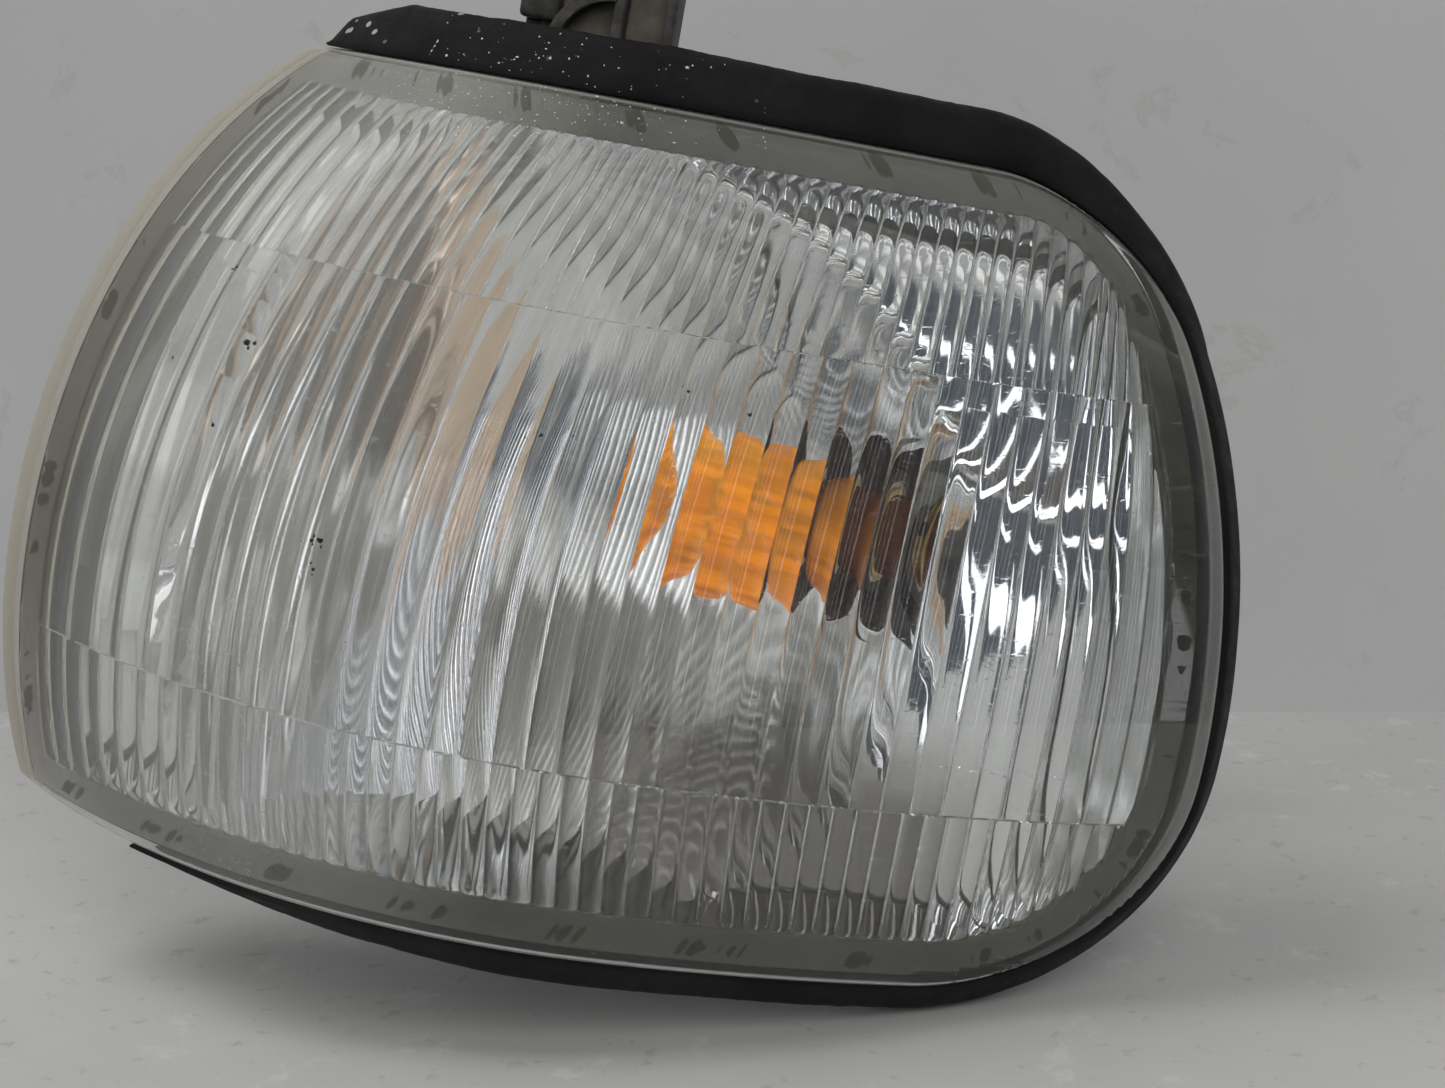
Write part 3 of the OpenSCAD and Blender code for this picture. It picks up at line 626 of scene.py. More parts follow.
def mirror_material():
    m = Mat("aluminised_coat")
    v = m.objpos()
    a = m.noise(35, 5, 0.6, v)
    b = m.noise(1400, 3, 0.6, v)
    rough = m.n("ShaderNodeMapRange", {0: a, 1: 0.3, 2: 0.75, 3: 0.03, 4: 0.075}).outputs[0]
    c = m.mix(m.ramp(a, [(0.35, 0.0), (0.7, 1.0)]), (0.86, 0.87, 0.88), (0.80, 0.80, 0.79))
    # painted shade: a dark patch low in the bowl, mixed into the mirror's colour
    h = tuple(float(x) for x in HOME * MM)
    ve = m.n("ShaderNodeVectorMath", {0: v, 1: h}, operation="ADD").outputs["Vector"]
    me = m.n("ShaderNodeVectorMath", {0: ve, 1: tuple(float(x) for x in EV)}, operation="DOT_PRODUCT").outputs["Value"]
    mz = m.n("ShaderNodeSeparateXYZ", {0: ve}).outputs["Z"]
    mz = m.math("ADD", mz, m.math("MULTIPLY", m.math("SUBTRACT", a, 0.5), 0.02))

    def band(x, lo, hi, s1, s2):
        g1 = m.n("ShaderNodeMapRange", {0: x, 1: lo - s1, 2: lo + s1, 3: 0.0, 4: 1.0}).outputs[0]
        g2 = m.n("ShaderNodeMapRange", {0: x, 1: hi - s2, 2: hi + s2, 3: 1.0, 4: 0.0}).outputs[0]
        return m.math("MULTIPLY", g1, g2)

    painted_shade_patch = m.math("MULTIPLY", band(me, -0.056, 0.006, 0.008, 0.006), band(mz, -0.075, -0.030, 0.004, 0.006))
    c = m.mix(m.math("MULTIPLY", painted_shade_patch, 0.94), c, (0.17, 0.155, 0.14))
    bump = m.n("ShaderNodeBump", {"Height": m.noise(22, 2, 0.5, v), "Strength": 0.25, "Distance": 0.0006}).outputs[0]
    bump2 = m.n("ShaderNodeBump", {"Height": b, "Strength": 0.03, "Distance": 0.0001, "Normal": bump}).outputs[0]
    p = m.n("ShaderNodeBsdfPrincipled", {"Base Color": c, "Roughness": rough, "Metallic": 1.0, "Normal": bump2}).outputs[0]
    fr = m.math("MULTIPLY", m.n("ShaderNodeAttribute", attribute_name="front").outputs["Fac"], 0.02)
    bare_c = m.mix(m.ramp(fr, [(0.30, 0.0), (0.46, 1.0)]), (0.030, 0.036, 0.044), (0.060, 0.055, 0.036))
    bare = m.n("ShaderNodeBsdfPrincipled", {"Base Color": bare_c, "Roughness": 0.32, "Specular IOR Level": 0.6}).outputs[0]
    return m.out(m.shader_mix(m.ramp(m.math("ADD", fr, m.math("MULTIPLY", m.math("SUBTRACT", a, 0.5), 0.03)), [(0.40, 1.0), (0.47, 0.0)]), p, bare))


def build_housing():
    nw = 80
    ws = np.linspace(0.0, 0.995, nw)
    n = ((160, 44, 44, 90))
    di = [x - 2.6 for x in D_IN]
    db = [x - 2.5 for x in di]
    F0, F1 = WALL + 1.65, WALL + 4.2
    R, q0 = bowl_rows(db, ws, F0, 5, 7.6, n)
    Rin, _ = bowl_rows(di, ws, F0, 5, 5.1, n)
    qo = outline(D_OUT, *n)
    rows = [Rin[::-1], inner(*outline(di, *n).T, F0)[None], inner(*qo.T, F0)[None], inner(*qo.T, F0 + 0.4)[None], inner(*qo.T, F1 - 0.5)[None],
            inner(*(qo * 0.985 + MID_UZ * 0.015).T, F1)[None], inner(*q0.T, F1)[None], R]
    A = np.concatenate(rows)
    m, k = A.shape[:2]
    P = A.reshape(-1, 3)
    F = quads(m, k, wrap_n=True)
    c0, c1 = len(P), len(P) + 1
    P = np.vstack([P, A[0].mean(0), A[-1].mean(0)])
    P2, F2 = punch(P, F, 17.4)
    cap = [(c0, j, (j + 1) % k) for j in range(k)] + [(c1, (m - 1) * k + j, (m - 1) * k + (j + 1) % k) for j in range(k)]
    o = new_obj("housing_shell", P2, F2.tolist() + cap)

    def tidy(bm):
        bmesh.ops.delete(bm, geom=[v for v in bm.verts if not v.link_faces], context="VERTS")
        bmesh.ops.recalc_face_normals(bm, faces=bm.faces)
    edit(o, tidy)
    sharp_by_angle(o, 38)
    return o


# ------------------------------------------------------------------ generic solids for details
def frame_obj(verts, name, faces, M, smooth=True):
    """points in a local mm frame carried to the row frame by M (4x4)"""
    v = np.asarray(verts, float)
    v = v @ np.array(M)[:3, :3].T + np.array(M)[:3, 3]
    return new_obj(name, v, faces, smooth)


def M_bulb():
    M = np.eye(4)
    M[:3, 0] = [0, 0, -1]
    M[:3, 1] = BY
    M[:3, 2] = BA
    M[:3, 3] = BO
    return M


def M_ed(e=0, d=0, z=0):
    M = np.eye(4)
    M[:3, 0], M[:3, 1] = EV, DV
    M[:3, 3] = e * EV + d * DV + np.array([0, 0, z])
    return M


def lathe(name, prof, M, seg=96, closed=False, a0=0.0, a1=2 * np.pi):
    prof = np.asarray(prof, float)
    full = abs(a1 - a0) > 2 * np.pi - 1e-6
    k = seg if full else seg + 1
    th = a0 + (a1 - a0) * np.arange(k) / seg
    V = np.stack([prof[:, None, 0] * np.cos(th), prof[:, None, 0] * np.sin(th), np.broadcast_to(prof[:, None, 1], (len(prof), k))], -1)
    F = quads(len(prof), k, wrap_n=full, wrap_m=closed)
    o = frame_obj(V.reshape(-1, 3), name, F, M)

    def tidy(bm):
        bmesh.ops.remove_doubles(bm, verts=bm.verts, dist=1e-6)
        bmesh.ops.recalc_face_normals(bm, faces=bm.faces)
    edit(o, tidy)
    return o


def rbox(name, lo, hi, M, r=0.5, seg=3):
    """box with rounded edges"""
    x0, y0, z0 = lo
    x1, y1, z1 = hi
    v = [(x, y, z) for x in (x0, x1) for y in (y0, y1) for z in (z0, z1)]
    f = [(0, 1, 3, 2), (4, 6, 7, 5), (0, 4, 5, 1), (2, 3, 7, 6), (0, 2, 6, 4), (1, 5, 7, 3)]
    o = frame_obj(v, name, f, M)
    r = min(r, 0.49 * min(abs(x1 - x0), abs(y1 - y0), abs(z1 - z0)))

    def tidy(bm):
        bmesh.ops.recalc_face_normals(bm, faces=bm.faces)
        bmesh.ops.bevel(bm, geom=bm.edges[:], offset=r * MM, segments=seg, profile=0.5, affect="EDGES")
    edit(o, tidy)
    return o


def join(name, objs):
    bpy.ops.object.select_all(action="DESELECT")
    for o in objs:
        o.select_set(True)
    bpy.context.view_layer.objects.active = objs[0]
    bpy.ops.object.join()
    o = bpy.context.view_layer.objects.active
    o.name = name
    o.data.name = name
    return o


def cut(o, tool):
    md = o.modifiers.new("cut", "BOOLEAN")
    md.operation, md.solver, md.object = "DIFFERENCE", "EXACT", tool
    bpy.context.view_layer.objects.active = o
    bpy.ops.object.modifier_apply(modifier="cut")
    bpy.data.objects.remove(tool)
    return o


# ------------------------------------------------------------------ seal
def build_seal():
    st = []
    zt, xe, rt, rb = HH, XE, RT, RBC
    uf, ub = float(u_front(zt, 4)), float(u_front(-zt, 33))
    nt, nc, nr, nb = 150, 44, 30, 170
    for i in range(nt):
        u1, t = float(u_of_x(xe - rt, zt)), i / nt
        st.append(((uf + (u1 - uf) * t, zt), (0, 1), min(9.0, 1.0 + 230 * t, 5.2 + 26 * t)))
    for i in range(nc):
        t = math.pi / 2 * i / nc
        z = zt - rt + rt * math.cos(t)
        st.append(((float(u_of_x(xe - rt + rt * math.sin(t), z)), z), (-math.sin(t), math.cos(t)), 9 + (6.4 - 9) * i / nc))
    for i in range(nr):
        z = zt - rt + (-zt + rb - zt + rt) * i / nr
        st.append(((float(u_of_x(xe, z)), z), (-1, 0), 6.4))
    for i in range(nc):
        t = math.pi / 2 * i / nc
        z = -zt + rb - rb * math.sin(t)
        st.append(((float(u_of_x(xe - rb + rb * math.cos(t), z)), z), (-math.cos(t), -math.sin(t)), 6.4 - 1.4 * i / nc))
    for i in range(nb + 1):
        u1, t = float(u_of_x(xe - rb, -zt)), i / nb
        st.append(((u1 + (ub - u1) * t, -zt), (0, -1), min(5.0, 0.6 + 9 * (1 - t))))
    rows = []
    n = len(st)
    wob = np.convolve(rng.standard_normal(n + 24), np.ones(25) / 25, "valid") * 1.3
    for i, ((u, z), o, w) in enumerate(st):
        f = u / RA if u < UJ else PH1 + (u - UJ) / RB
        out = np.array([-o[0] * math.cos(f), o[0] * math.sin(f), o[1]])
        back = np.array([math.sin(f), math.cos(f), 0])
        q = skin(u, z, 0)
        w = w + wob[i] * min(1, w / 4) * 0.5
        prof = [(0.08, 11.8), (0.08, 1.1), (0.22, 0.7), (0.5, 0.62), (0.12 * w + 0.4, 0.7), (0.45 * w, 1.0 + 0.16 * w), (0.78 * w, 1.0 + 0.34 * w),
                (0.93 * w, 1.2 + 0.45 * w), (w - 0.05, 1.8 + 0.5 * w), (w, 2.6 + 0.5 * w), (w, 10.2), (w - 0.2, 10.9), (0.8 * w, 11.6), (0.5 * w, 11.95)]
        rows.append([q + a * out + b * back for a, b in prof])
    A = np.array(rows)
    m, k = A.shape[:2]
    P = A.reshape(-1, 3)
    F = quads(m, k, wrap_n=True).tolist()
    F += [list(range(k))[::-1], [(m - 1) * k + j for j in range(k)]]
    o = new_obj("body_seal_rubber", P, F)
    edit(o, lambda bm: bmesh.ops.recalc_face_normals(bm, faces=bm.faces))
    sharp_by_angle(o, 55)
    return o


def seal_material():
    m = Mat("seal_black_rubber")
    v = m.objpos()
    a = m.noise(40, 5, 0.6, v)
    b = m.noise(260, 5, 0.65, v)
    c = m.mix(m.ramp(a, [(0.4, 0.0), (0.75, 1.0)]), (0.007, 0.007, 0.008), (0.017, 0.016, 0.015))
    c = m.mix(m.ramp(b, [(0.6, 0.0), (0.8, 0.6)]), c, (0.032, 0.029, 0.025))
    vo = m.n("ShaderNodeTexVoronoi", {"Vector": v, "Scale": 260.0, "Randomness": 1.0}).outputs["Distance"]
    gate = m.ramp(m.noise(28, 3, 0.6, v), [(0.50, 0.0), (0.62, 1.0)])
    top = m.ramp(m.math("ADD", m.n("ShaderNodeSeparateXYZ", {0: v}).outputs[2], HOME[2] * MM), [(0.0, 0.0), (0.058, 0.0), (0.062, 1.0)])
    sp = m.math("MULTIPLY", m.math("MULTIPLY", m.ramp(vo, [(0.0, 1.0), (0.12, 1.0), (0.17, 0.0)]), gate), top)
    c = m.mix(m.math("MULTIPLY", sp, 0.9), c, (0.42, 0.42, 0.41))
    rough = m.n("ShaderNodeMapRange", {0: b, 1: 0.3, 2: 0.7, 3: 0.5, 4: 0.72}).outputs[0]
    bump = m.n("ShaderNodeBump", {"Height": m.noise(700, 4, 0.6, v), "Strength": 0.25, "Distance": 0.0003}).outputs[0]
    p = m.n("ShaderNodeBsdfPrincipled", {"Base Color": c, "Roughness": rough, "Normal": bump, "Specular IOR Level": 0.22})
    return m.out(p.outputs[0])


# ------------------------------------------------------------------ bulb
def build_bulb():
    r, L = 13.2, 38.0
    M = M_bulb()
    prof = [(6.6, 2.0), (6.6, -1.5)]
    # neck, swell and dome
    zc = -L + r
    for i in range(1, 15):
        t = i / 14
        prof.append((6.6 + (r - 6.6) * (0.5 - 0.5 * math.cos(math.pi * t)), -1.5 + (zc + 3.5 + 1.5) * t * 0.72 if False else -1.5 + (zc + 1.5) * t))
    for i in range(1, 27):
        a = math.pi / 2 * i / 26
        prof.append((r * math.cos(a) if i < 26 else 0.0, zc - r * math.sin(a)))
    o = lathe("bulb_amber_glass", prof, M, 96)
    return o


def amber_material():
    m = Mat("amber_lacquer_glass")
    v = m.objpos()
    a = m.noise(120, 5, 0.6, v)
    # distance along the bulb axis, in units of 50 mm from the bulb hole
    o = (BO - HOME) * MM
    rel_v = m.n("ShaderNodeVectorMath", {0: v, 1: tuple(o)}, operation="SUBTRACT").outputs["Vector"]
    t = m.math("MULTIPLY", m.n("ShaderNodeVectorMath", {0: rel_v, 1: tuple(-BA)}, operation="DOT_PRODUCT").outputs["Value"], 20.0)
    c = m.mix(m.ramp(a, [(0.35, 0.0), (0.7, 1.0)]), (1.0, 0.42, 0.004), (1.0, 0.52, 0.015))
    # painted shade: near the bulb hole the amber is painted dark brown
    c = m.mix(m.ramp(t, [(0.16, 1.0), (0.36, 0.0)]), c, (0.16, 0.045, 0.010))
    # painted light: an orange emission over the front of the bulb, broken into bright streaks, stands in for light
    # shining through the amber
    painted_glow_streaks = m.noise(1.0, 4, 0.6, m.n("ShaderNodeMapping", {"Vector": v, "Rotation": (0.2, 0.1, 0.5), "Scale": (90, 90, 500)}).outputs[0])
    painted_glow = m.math("MULTIPLY", m.ramp(t, [(0.20, 0.0), (0.40, 0.30), (0.75, 0.38)]), m.ramp(painted_glow_streaks, [(0.42, 0.12), (0.60, 1.0)]))
    gl = m.n("ShaderNodeBsdfGlossy", {"Color": (1, 0.93, 0.85, 1), "Roughness": 0.06}).outputs[0]
    tp = m.n("ShaderNodeBsdfTransparent", {"Color": c}).outputs[0]
    tl = m.n("ShaderNodeBsdfTranslucent", {"Color": c}).outputs[0]
    df = m.n("ShaderNodeBsdfDiffuse", {"Color": c}).outputs[0]
    em = m.n("ShaderNodeEmission", {"Color": (1.0, 0.33, 0.0, 1), "Strength": painted_glow}).outputs[0]
    a1 = m.shader_mix(0.55, df, tl)
    a2 = m.n("ShaderNodeAddShader", {0: m.shader_mix(0.35, a1, tp), 1: em}).outputs[0]
    fr = m.n("ShaderNodeFresnel", {"IOR": 1.5}).outputs[0]
    body = m.shader_mix(m.math("MULTIPLY_ADD", fr, 0.55, 0.0, clamp=True), a2, gl)
    path = m.n("ShaderNodeLightPath")
    sh = m.n("ShaderNodeBsdfTransparent", {"Color": (0.9, 0.4, 0.03, 1)}).outputs[0]
    # the lacquer is thin: its image in the bowl is faint
    thin = m.n("ShaderNodeBsdfTransparent", {"Color": (1.0, 0.93, 0.84, 1)}).outputs[0]
    body = m.shader_mix(m.math("MULTIPLY", m.math("GREATER_THAN", path.outputs["Glossy Depth"], 0.5), 0.90), body, thin)
    return m.out(m.shader_mix(path.outputs["Is Shadow Ray"], body, sh))


# ------------------------------------------------------------------ bracket
def build_bracket():
    M = M_ed()
    parts = [rbox("b0", (-87, 54, 60.75), (-61.8, 65.5, 62.85), M, 0.5),
             rbox("b1", (-87, 61.5, 61), (-61.8, 65.5, 84), M, 0.7),
             rbox("b2", (-87, 61.5, 82), (-59, 65.5, 90.75), M, 0.7),
             rbox("b3", (-87, 61.5, 87), (-59, 83.5, 91), M, 0.8),
             rbox("b4", (-98, 60, 76), (-84, 63.5, 84), M, 0.8),
             rbox("b5", (-98, 58.6, 76), (-95.6, 63.5, 84), M, 0.6)]
    for x, wd in ((-71.9, 2.0), (-63.4, 1.8)):
        parts.append(rbox("br", (x, 57.0, 62.2), (x + wd, 63, 88.5), M, 0.5))
    parts.append(rbox("bh", (-72.5, 57.2, 78.0), (-61.8, 63, 80.4), M, 0.6))
    # curved rib on the left of the recess
    arc = [math.radians(a) for a in np.linspace(190, 90, 14)]
    ring = [(-71.5 + 10.8 * math.cos(a), 69.0 + 10.8 * math.sin(a)) for a in arc] + [(-71.5 + 8.9 * math.cos(a), 69.0 + 8.9 * math.sin(a)) for a in arc[::-1]]
    k = len(ring)
    vs = [(x, 57.0, z) for x, z in ring] + [(x, 63.0, z) for x, z in ring]
    h = k // 2
    fs = []
    for i in range(h - 1):
        a0, a1, b0_, b1_ = i, i + 1, k - 1 - i, k - 2 - i
        fs += [(a0, a1, b1_, b0_), (k + a0, k + b0_, k + b1_, k + a1), (a0, k + a0, k + a1, a1), (b0_, b1_, k + b1_, k + b0_)]
    fs += [(0, k - 1, 2 * k - 1, k), (h - 1, k + h - 1, k + h, h)]
    rib = frame_obj(vs, "ba", fs, M, smooth=False)
    edit(rib, lambda bm: bmesh.ops.recalc_face_normals(bm, faces=bm.faces))
    parts.append(rib)
    for x in (-86, -63):
        parts.append(rbox("bg", (x, 64, 84), (x + 3, 79, 88), M, 0.6))
    parts.append(rbox("bt", (-87, 57.0, 85.8), (-59, 63, 88.2), M, 0.8))
    parts.append(rbox("bc", (-87.4, 57.6, 73.2), (-80.8, 64, 84), M, 0.9))
    web = rbox("bracket_web", (-84.2, 60.6, 62.4), (-62.4, 61.9, 86), M, 0.3)
    o = join("top_bracket_moulding", parts)
    ring = lathe("boss", [(9.0, 87.2), (9.0, 92.2), (8.3, 93.0), (4.62, 93.0), (4.62, 87.0), (8.8, 87.0)], M_ed(-73, 76, 0), 72, closed=True)
    hole = lathe("h", [(0, 80), (4.62, 80), (4.62, 99), (0, 99)], M_ed(-73, 76, 0), 64)
    cut(o, hole)
    o = join("top_bracket_moulding", [o, ring])
    return o, web


# ------------------------------------------------------------------ materials for everything that is carried over
AMB = (1.0, 0.38, 0.01)


def carried_materials():
    specs = {
        "bracket_sleeve": worn("zinc_sleeve", (0.50, 0.50, 0.52), (0.62, 0.61, 0.58), 180, (0.28, 0.45), 0.1, 1.0, edge=0.0003),
        "locating_pin": worn("nylon_natural", (0.55, 0.53, 0.46), (0.64, 0.62, 0.55), 120, (0.4, 0.55), 0.1, edge=0.0004),
        "vent_cap": worn("vent_rubber", (0.018, 0.018, 0.019), (0.035, 0.034, 0.032), 140, (0.55, 0.75), 0.3, dust=0.4, edge=0.0005),
        "bulb_stem": worn("stem_glass", (0.75, 0.77, 0.76), (0.85, 0.85, 0.84), 200, (0.05, 0.1), 0.02, trans=0.85, ior=1.5),
        "filament_signal": worn("tungsten", (0.22, 0.22, 0.23), (0.32, 0.32, 0.33), 800, (0.3, 0.4), 0.05, 1.0),
        "filament_leads": worn("lead_wire", (0.45, 0.42, 0.36), (0.58, 0.55, 0.48), 500, (0.25, 0.4), 0.05, 1.0),
        "bulb_base": worn("brass_base", (0.62, 0.46, 0.2), (0.48, 0.34, 0.14), 140, (0.22, 0.4), 0.1, 1.0, edge=0.0003),
        "base_insulator": worn("fused_glass", (0.012, 0.010, 0.012), (0.03, 0.025, 0.03), 300, (0.12, 0.25), 0.1, coat=0.4),
        "base_contacts": worn("solder_dull", (0.45, 0.45, 0.44), (0.58, 0.57, 0.55), 500, (0.35, 0.5), 0.3, 1.0, edge=0.0003),
        "socket_body": worn("socket_phenolic", (0.028, 0.022, 0.020), (0.055, 0.042, 0.036), 90, (0.4, 0.6), 0.2, dust=0.3, edge=0.0004),
        "socket_shell": worn("tinned_brass", (0.55, 0.47, 0.32), (0.66, 0.60, 0.46), 160, (0.25, 0.42), 0.1, 1.0),
        "socket_seal": worn("socket_rubber", (0.02, 0.02, 0.021), (0.04, 0.038, 0.036), 140, (0.5, 0.7), 0.3, edge=0.0004),
        "contact_plate": worn("fibre_plate", (0.20, 0.10, 0.045), (0.30, 0.17, 0.08), 200, (0.45, 0.65), 0.2),
        "socket_contacts": worn("contact_brass", (0.62, 0.44, 0.2), (0.72, 0.54, 0.28), 300, (0.2, 0.35), 0.1, 1.0, edge=0.0002),
        "contact_spring": worn("spring_wire", (0.42, 0.42, 0.44), (0.55, 0.55, 0.56), 300, (0.2, 0.35), 0.05, 1.0),
        "wire_boot": worn("boot_rubber", (0.018, 0.018, 0.019), (0.036, 0.034, 0.032), 130, (0.5, 0.72), 0.3, dust=0.4, edge=0.0005),
        "wire_signal": worn("wire_green", (0.015, 0.12, 0.03), (0.03, 0.17, 0.05), 200, (0.3, 0.45), 0.1),
        "wire_marker": worn("wire_red", (0.32, 0.02, 0.015), (0.42, 0.04, 0.03), 200, (0.3, 0.45), 0.1),
        "wire_ground": worn("wire_black", (0.012, 0.012, 0.012), (0.03, 0.03, 0.03), 200, (0.3, 0.45), 0.1),
        "connector_body": worn("connector_nylon", (0.025, 0.025, 0.028), (0.05, 0.05, 0.052), 110, (0.35, 0.55), 0.2, dust=0.35, edge=0.0004),
        "connector_lock": worn("lock_nylon", (0.52, 0.42, 0.2), (0.62, 0.52, 0.28), 150, (0.35, 0.5), 0.1, edge=0.0003),
    }
    same = {"filament_marker": "filament_signal", "connector_terminals": "socket_contacts"}
    for node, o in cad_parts.items():
        key = same.get(node, node)
        if key in specs:
            shade(o, specs[key])
    return specs


# ------------------------------------------------------------------ build the lamp
lens = build_lens()
shade(lens, lens_material())
place(lens, "lamp", ["lens"])

sealant = build_sealant()
shade(sealant, sealant_material())
place(sealant, "lamp", ["adhesive_bead"])

refl = build_reflector()
shade(refl, mirror_material())
place(refl, "lamp", ["reflector"])

hous = build_housing()
HOUSING_MAT = worn("housing_moulding", (0.020, 0.020, 0.022), (0.042, 0.041, 0.040), 55, (0.45, 0.62), 0.25, dust=0.35)
shade(hous, HOUSING_MAT)
place(hous, "lamp", ["housing"])

seal = build_seal()
shade(seal, seal_material())
place(seal, "lamp", ["body_seal"])

brk, brk_web = build_bracket()
BR_MAT = worn("bracket_moulding", (0.030, 0.030, 0.030), (0.060, 0.057, 0.052), 70, (0.42, 0.6), 0.25, dust=0.4, edge=0.0004)
shade(brk, BR_MAT)
shade(brk_web, worn("bracket_web_dusty", (0.095, 0.082, 0.068), (0.15, 0.135, 0.115), 60, (0.55, 0.7), 0.25, dust=0.3))
place(brk_web, "lamp")
place(brk, "lamp", ["top_bracket"])

bulb = build_bulb()
shade(bulb, amber_material())
place(bulb, "bulb", ["bulb_glass"])

# settled dust on the upper edge of the seal and lens, and grit on the lens face
def speck_cloud(name, pts, radii, normals, seed, squash=0.45, sub=1):
    r = np.random.default_rng(seed)
    bm = bmesh.new()
    bmesh.ops.create_icosphere(bm, subdivisions=sub, radius=1.0)
    base_v = np.array([v.co[:] for v in bm.verts])
    base_f = np.array([[v.index for v in f.verts] for f in bm.faces])
    bm.free()
    V, F = [], []
    for k, (p, rad, nn) in enumerate(zip(pts, radii, normals)):
        nn = nn / np.linalg.norm(nn)
        t1 = np.cross(nn, [0.3, 0.2, 0.9])
        t1 /= np.linalg.norm(t1)
        t2 = np.cross(nn, t1)
        q = base_v * (1 + 0.35 * r.standard_normal((len(base_v), 1)).clip(-1, 1)) * rad
        V.append(p + q[:, :1] * t1 * r.uniform(0.7, 1.4) + q[:, 1:2] * t2 + q[:, 2:] * nn * squash)
        F.append(base_f + k * len(base_v))
    o = new_obj(name, np.concatenate(V), np.concatenate(F))
    return o


def skin_normal(u, z):
    a, b, c0 = skin(u, z, 0), skin(u + 0.5, z, 0), skin(u, z + 0.5, 0)
    n_ = np.cross(b - a, c0 - a)
    return -n_ if n_ @ np.array([0.3, 1.0, 0.0]) > 0 else n_


r2 = np.random.default_rng(5)
P_, R_, N_ = [], [], []
for k in range(260):
    u = float(np.clip(160 + 24 * r2.standard_normal(), 112, 200))
    z = float(np.clip(62 + 4.5 * r2.standard_normal(), 51, 71))
    n_ = skin_normal(u, min(z, 61.0))
    f = u / RA if u < UJ else PH1 + (u - UJ) / RB
    bk = np.array([math.sin(f), math.cos(f), 0])
    if z < 62.5:
        p = skin(u, z, 0)
    else:
        if z < 63.6:
            continue
        a_ = z - 63
        p = skin(u, 63.0, 0) + np.array([0, 0, a_]) + float(np.interp(a_ / 9.0, [0.05, 0.17, 0.45, 0.78, 0.93], [0.7, 0.7, 2.4, 4.0, 5.2])) * bk
        n_ = -bk + np.array([0, 0, 0.4])
    P_.append(p)
    R_.append(float(np.clip(abs(0.11 + 0.06 * r2.standard_normal()), 0.06, 0.3)))
    N_.append(n_)
dust = speck_cloud("dust_specks", P_, R_, N_, 3)
shade(dust, worn("dust_white", (0.55, 0.55, 0.54), (0.75, 0.75, 0.73), 300, (0.6, 0.8), 0.1))
place(dust, "lamp")

GRIT = [(204.9, 28.2, 0.30, 3), (195.6, 18.3, 0.62, 4), (208.9, 13.6, 0.28, 2), (196.1, 6.1, 0.30, 3), (173.2, -5.6, 0.42, 6), (173.3, -9.8, 0.26, 3),
        (144.3, 14.7, 0.30, 3), (139.6, 15.3, 0.24, 2), (123.1, 23.8, 0.26, 2), (113.5, 22.0, 0.30, 3)]
P_, R_, N_ = [], [], []
for u, z, rad, cnt in GRIT:
    for k in range(cnt):
        du, dz = (0, 0) if k == 0 else r2.standard_normal(2) * 0.75
        P_.append(skin(u + du, z + dz, 0))
        R_.append(rad * (1 if k == 0 else r2.uniform(0.35, 0.7)))
        N_.append(skin_normal(u + du, z + dz))
grit = speck_cloud("grit_specks", P_, R_, N_, 8)
shade(grit, worn("grit_dark", (0.010, 0.009, 0.008), (0.035, 0.028, 0.022), 400, (0.6, 0.8), 0.2))
place(grit, "lamp")

# socket collar of the housing
collar = lathe("socket_collar", [(17.5, -2.0), (17.5, 7.8), (15.36, 7.8), (15.36, 11.0), (17.5, 11.0), (17.5, 21.6), (17.9, 22.0), (19.1, 22.0), (19.5, 21.6), (19.5, 2.0)], M_bulb(), 120, closed=True)
sharp_by_angle(collar, 40)
shade(collar, HOUSING_MAT)
place(collar, "lamp")

carried_materials()

# ------------------------------------------------------------------ stage
CR, SR = math.cos(math.radians(10.45)), math.sin(math.radians(10.45))
RIGHT0 = np.array([0.809386, -0.587278, 0.0])
UP0 = np.array([0.107880, 0.148680, 0.982983])
CRIGHT = CR * RIGHT0 + SR * UP0
CUP = CR * UP0 - SR * RIGHT0
BETA = math.radians(12.0)
U = math.cos(BETA) * CUP - math.sin(BETA) * FWD
U /= np.linalg.norm(U)
FH = FWD + math.sin(BETA) * U
FH /= np.linalg.norm(FH)
low = 1e9
for nm in ("body_seal", "lens", "housing", "connector_body", "socket_body", "wire_boot"):
    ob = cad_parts[nm]
    co = np.empty(len(ob.data.vertices) * 3, np.float32)
    ob.data.vertices.foreach_get("co", co)
    low = min(low, float((co.reshape(-1, 3) @ U).min()) / MM + float(HOME @ U))
low -= 0.3
cam_h = float(CAMP @ U) - low
wall_d = cam_h / math.tan(BETA + math.atan(168 / 2072.84))
print("floor: camera height", round(cam_h, 1), "wall distance", round(wall_d, 1))
foot = CAMP - cam_h * U
# near edge of the pale table, as a distance toward the viewer in metres
TABLE = float((np.array([30.0, 0.0, 0.0]) - HOME) @ -FH) * MM + 0.03
TABLE_C = [float(x) * MM for x in (np.array([40.0, 10.0, 0.0]) - (np.array([40.0, 10.0, 0.0]) @ U - low) * U - HOME)]


def stage_plane(name, org, ax, ay, w, h, nx=2, ny=2):
    v = [org + ax * (i / (nx - 1) - 0.5) * w + ay * (j / (ny - 1)) * h for i in range(nx) for j in range(ny)]
    o = new_obj(name, np.array(v), quads(nx, ny), smooth=False)
    return o


floor = stage_plane("stage_floor", foot - FH * 2000, CRIGHT, FH, 6000, 2000 + wall_d)
back = stage_plane("stage_wall", foot + FH * wall_d, CRIGHT, U, 6000, 1800)


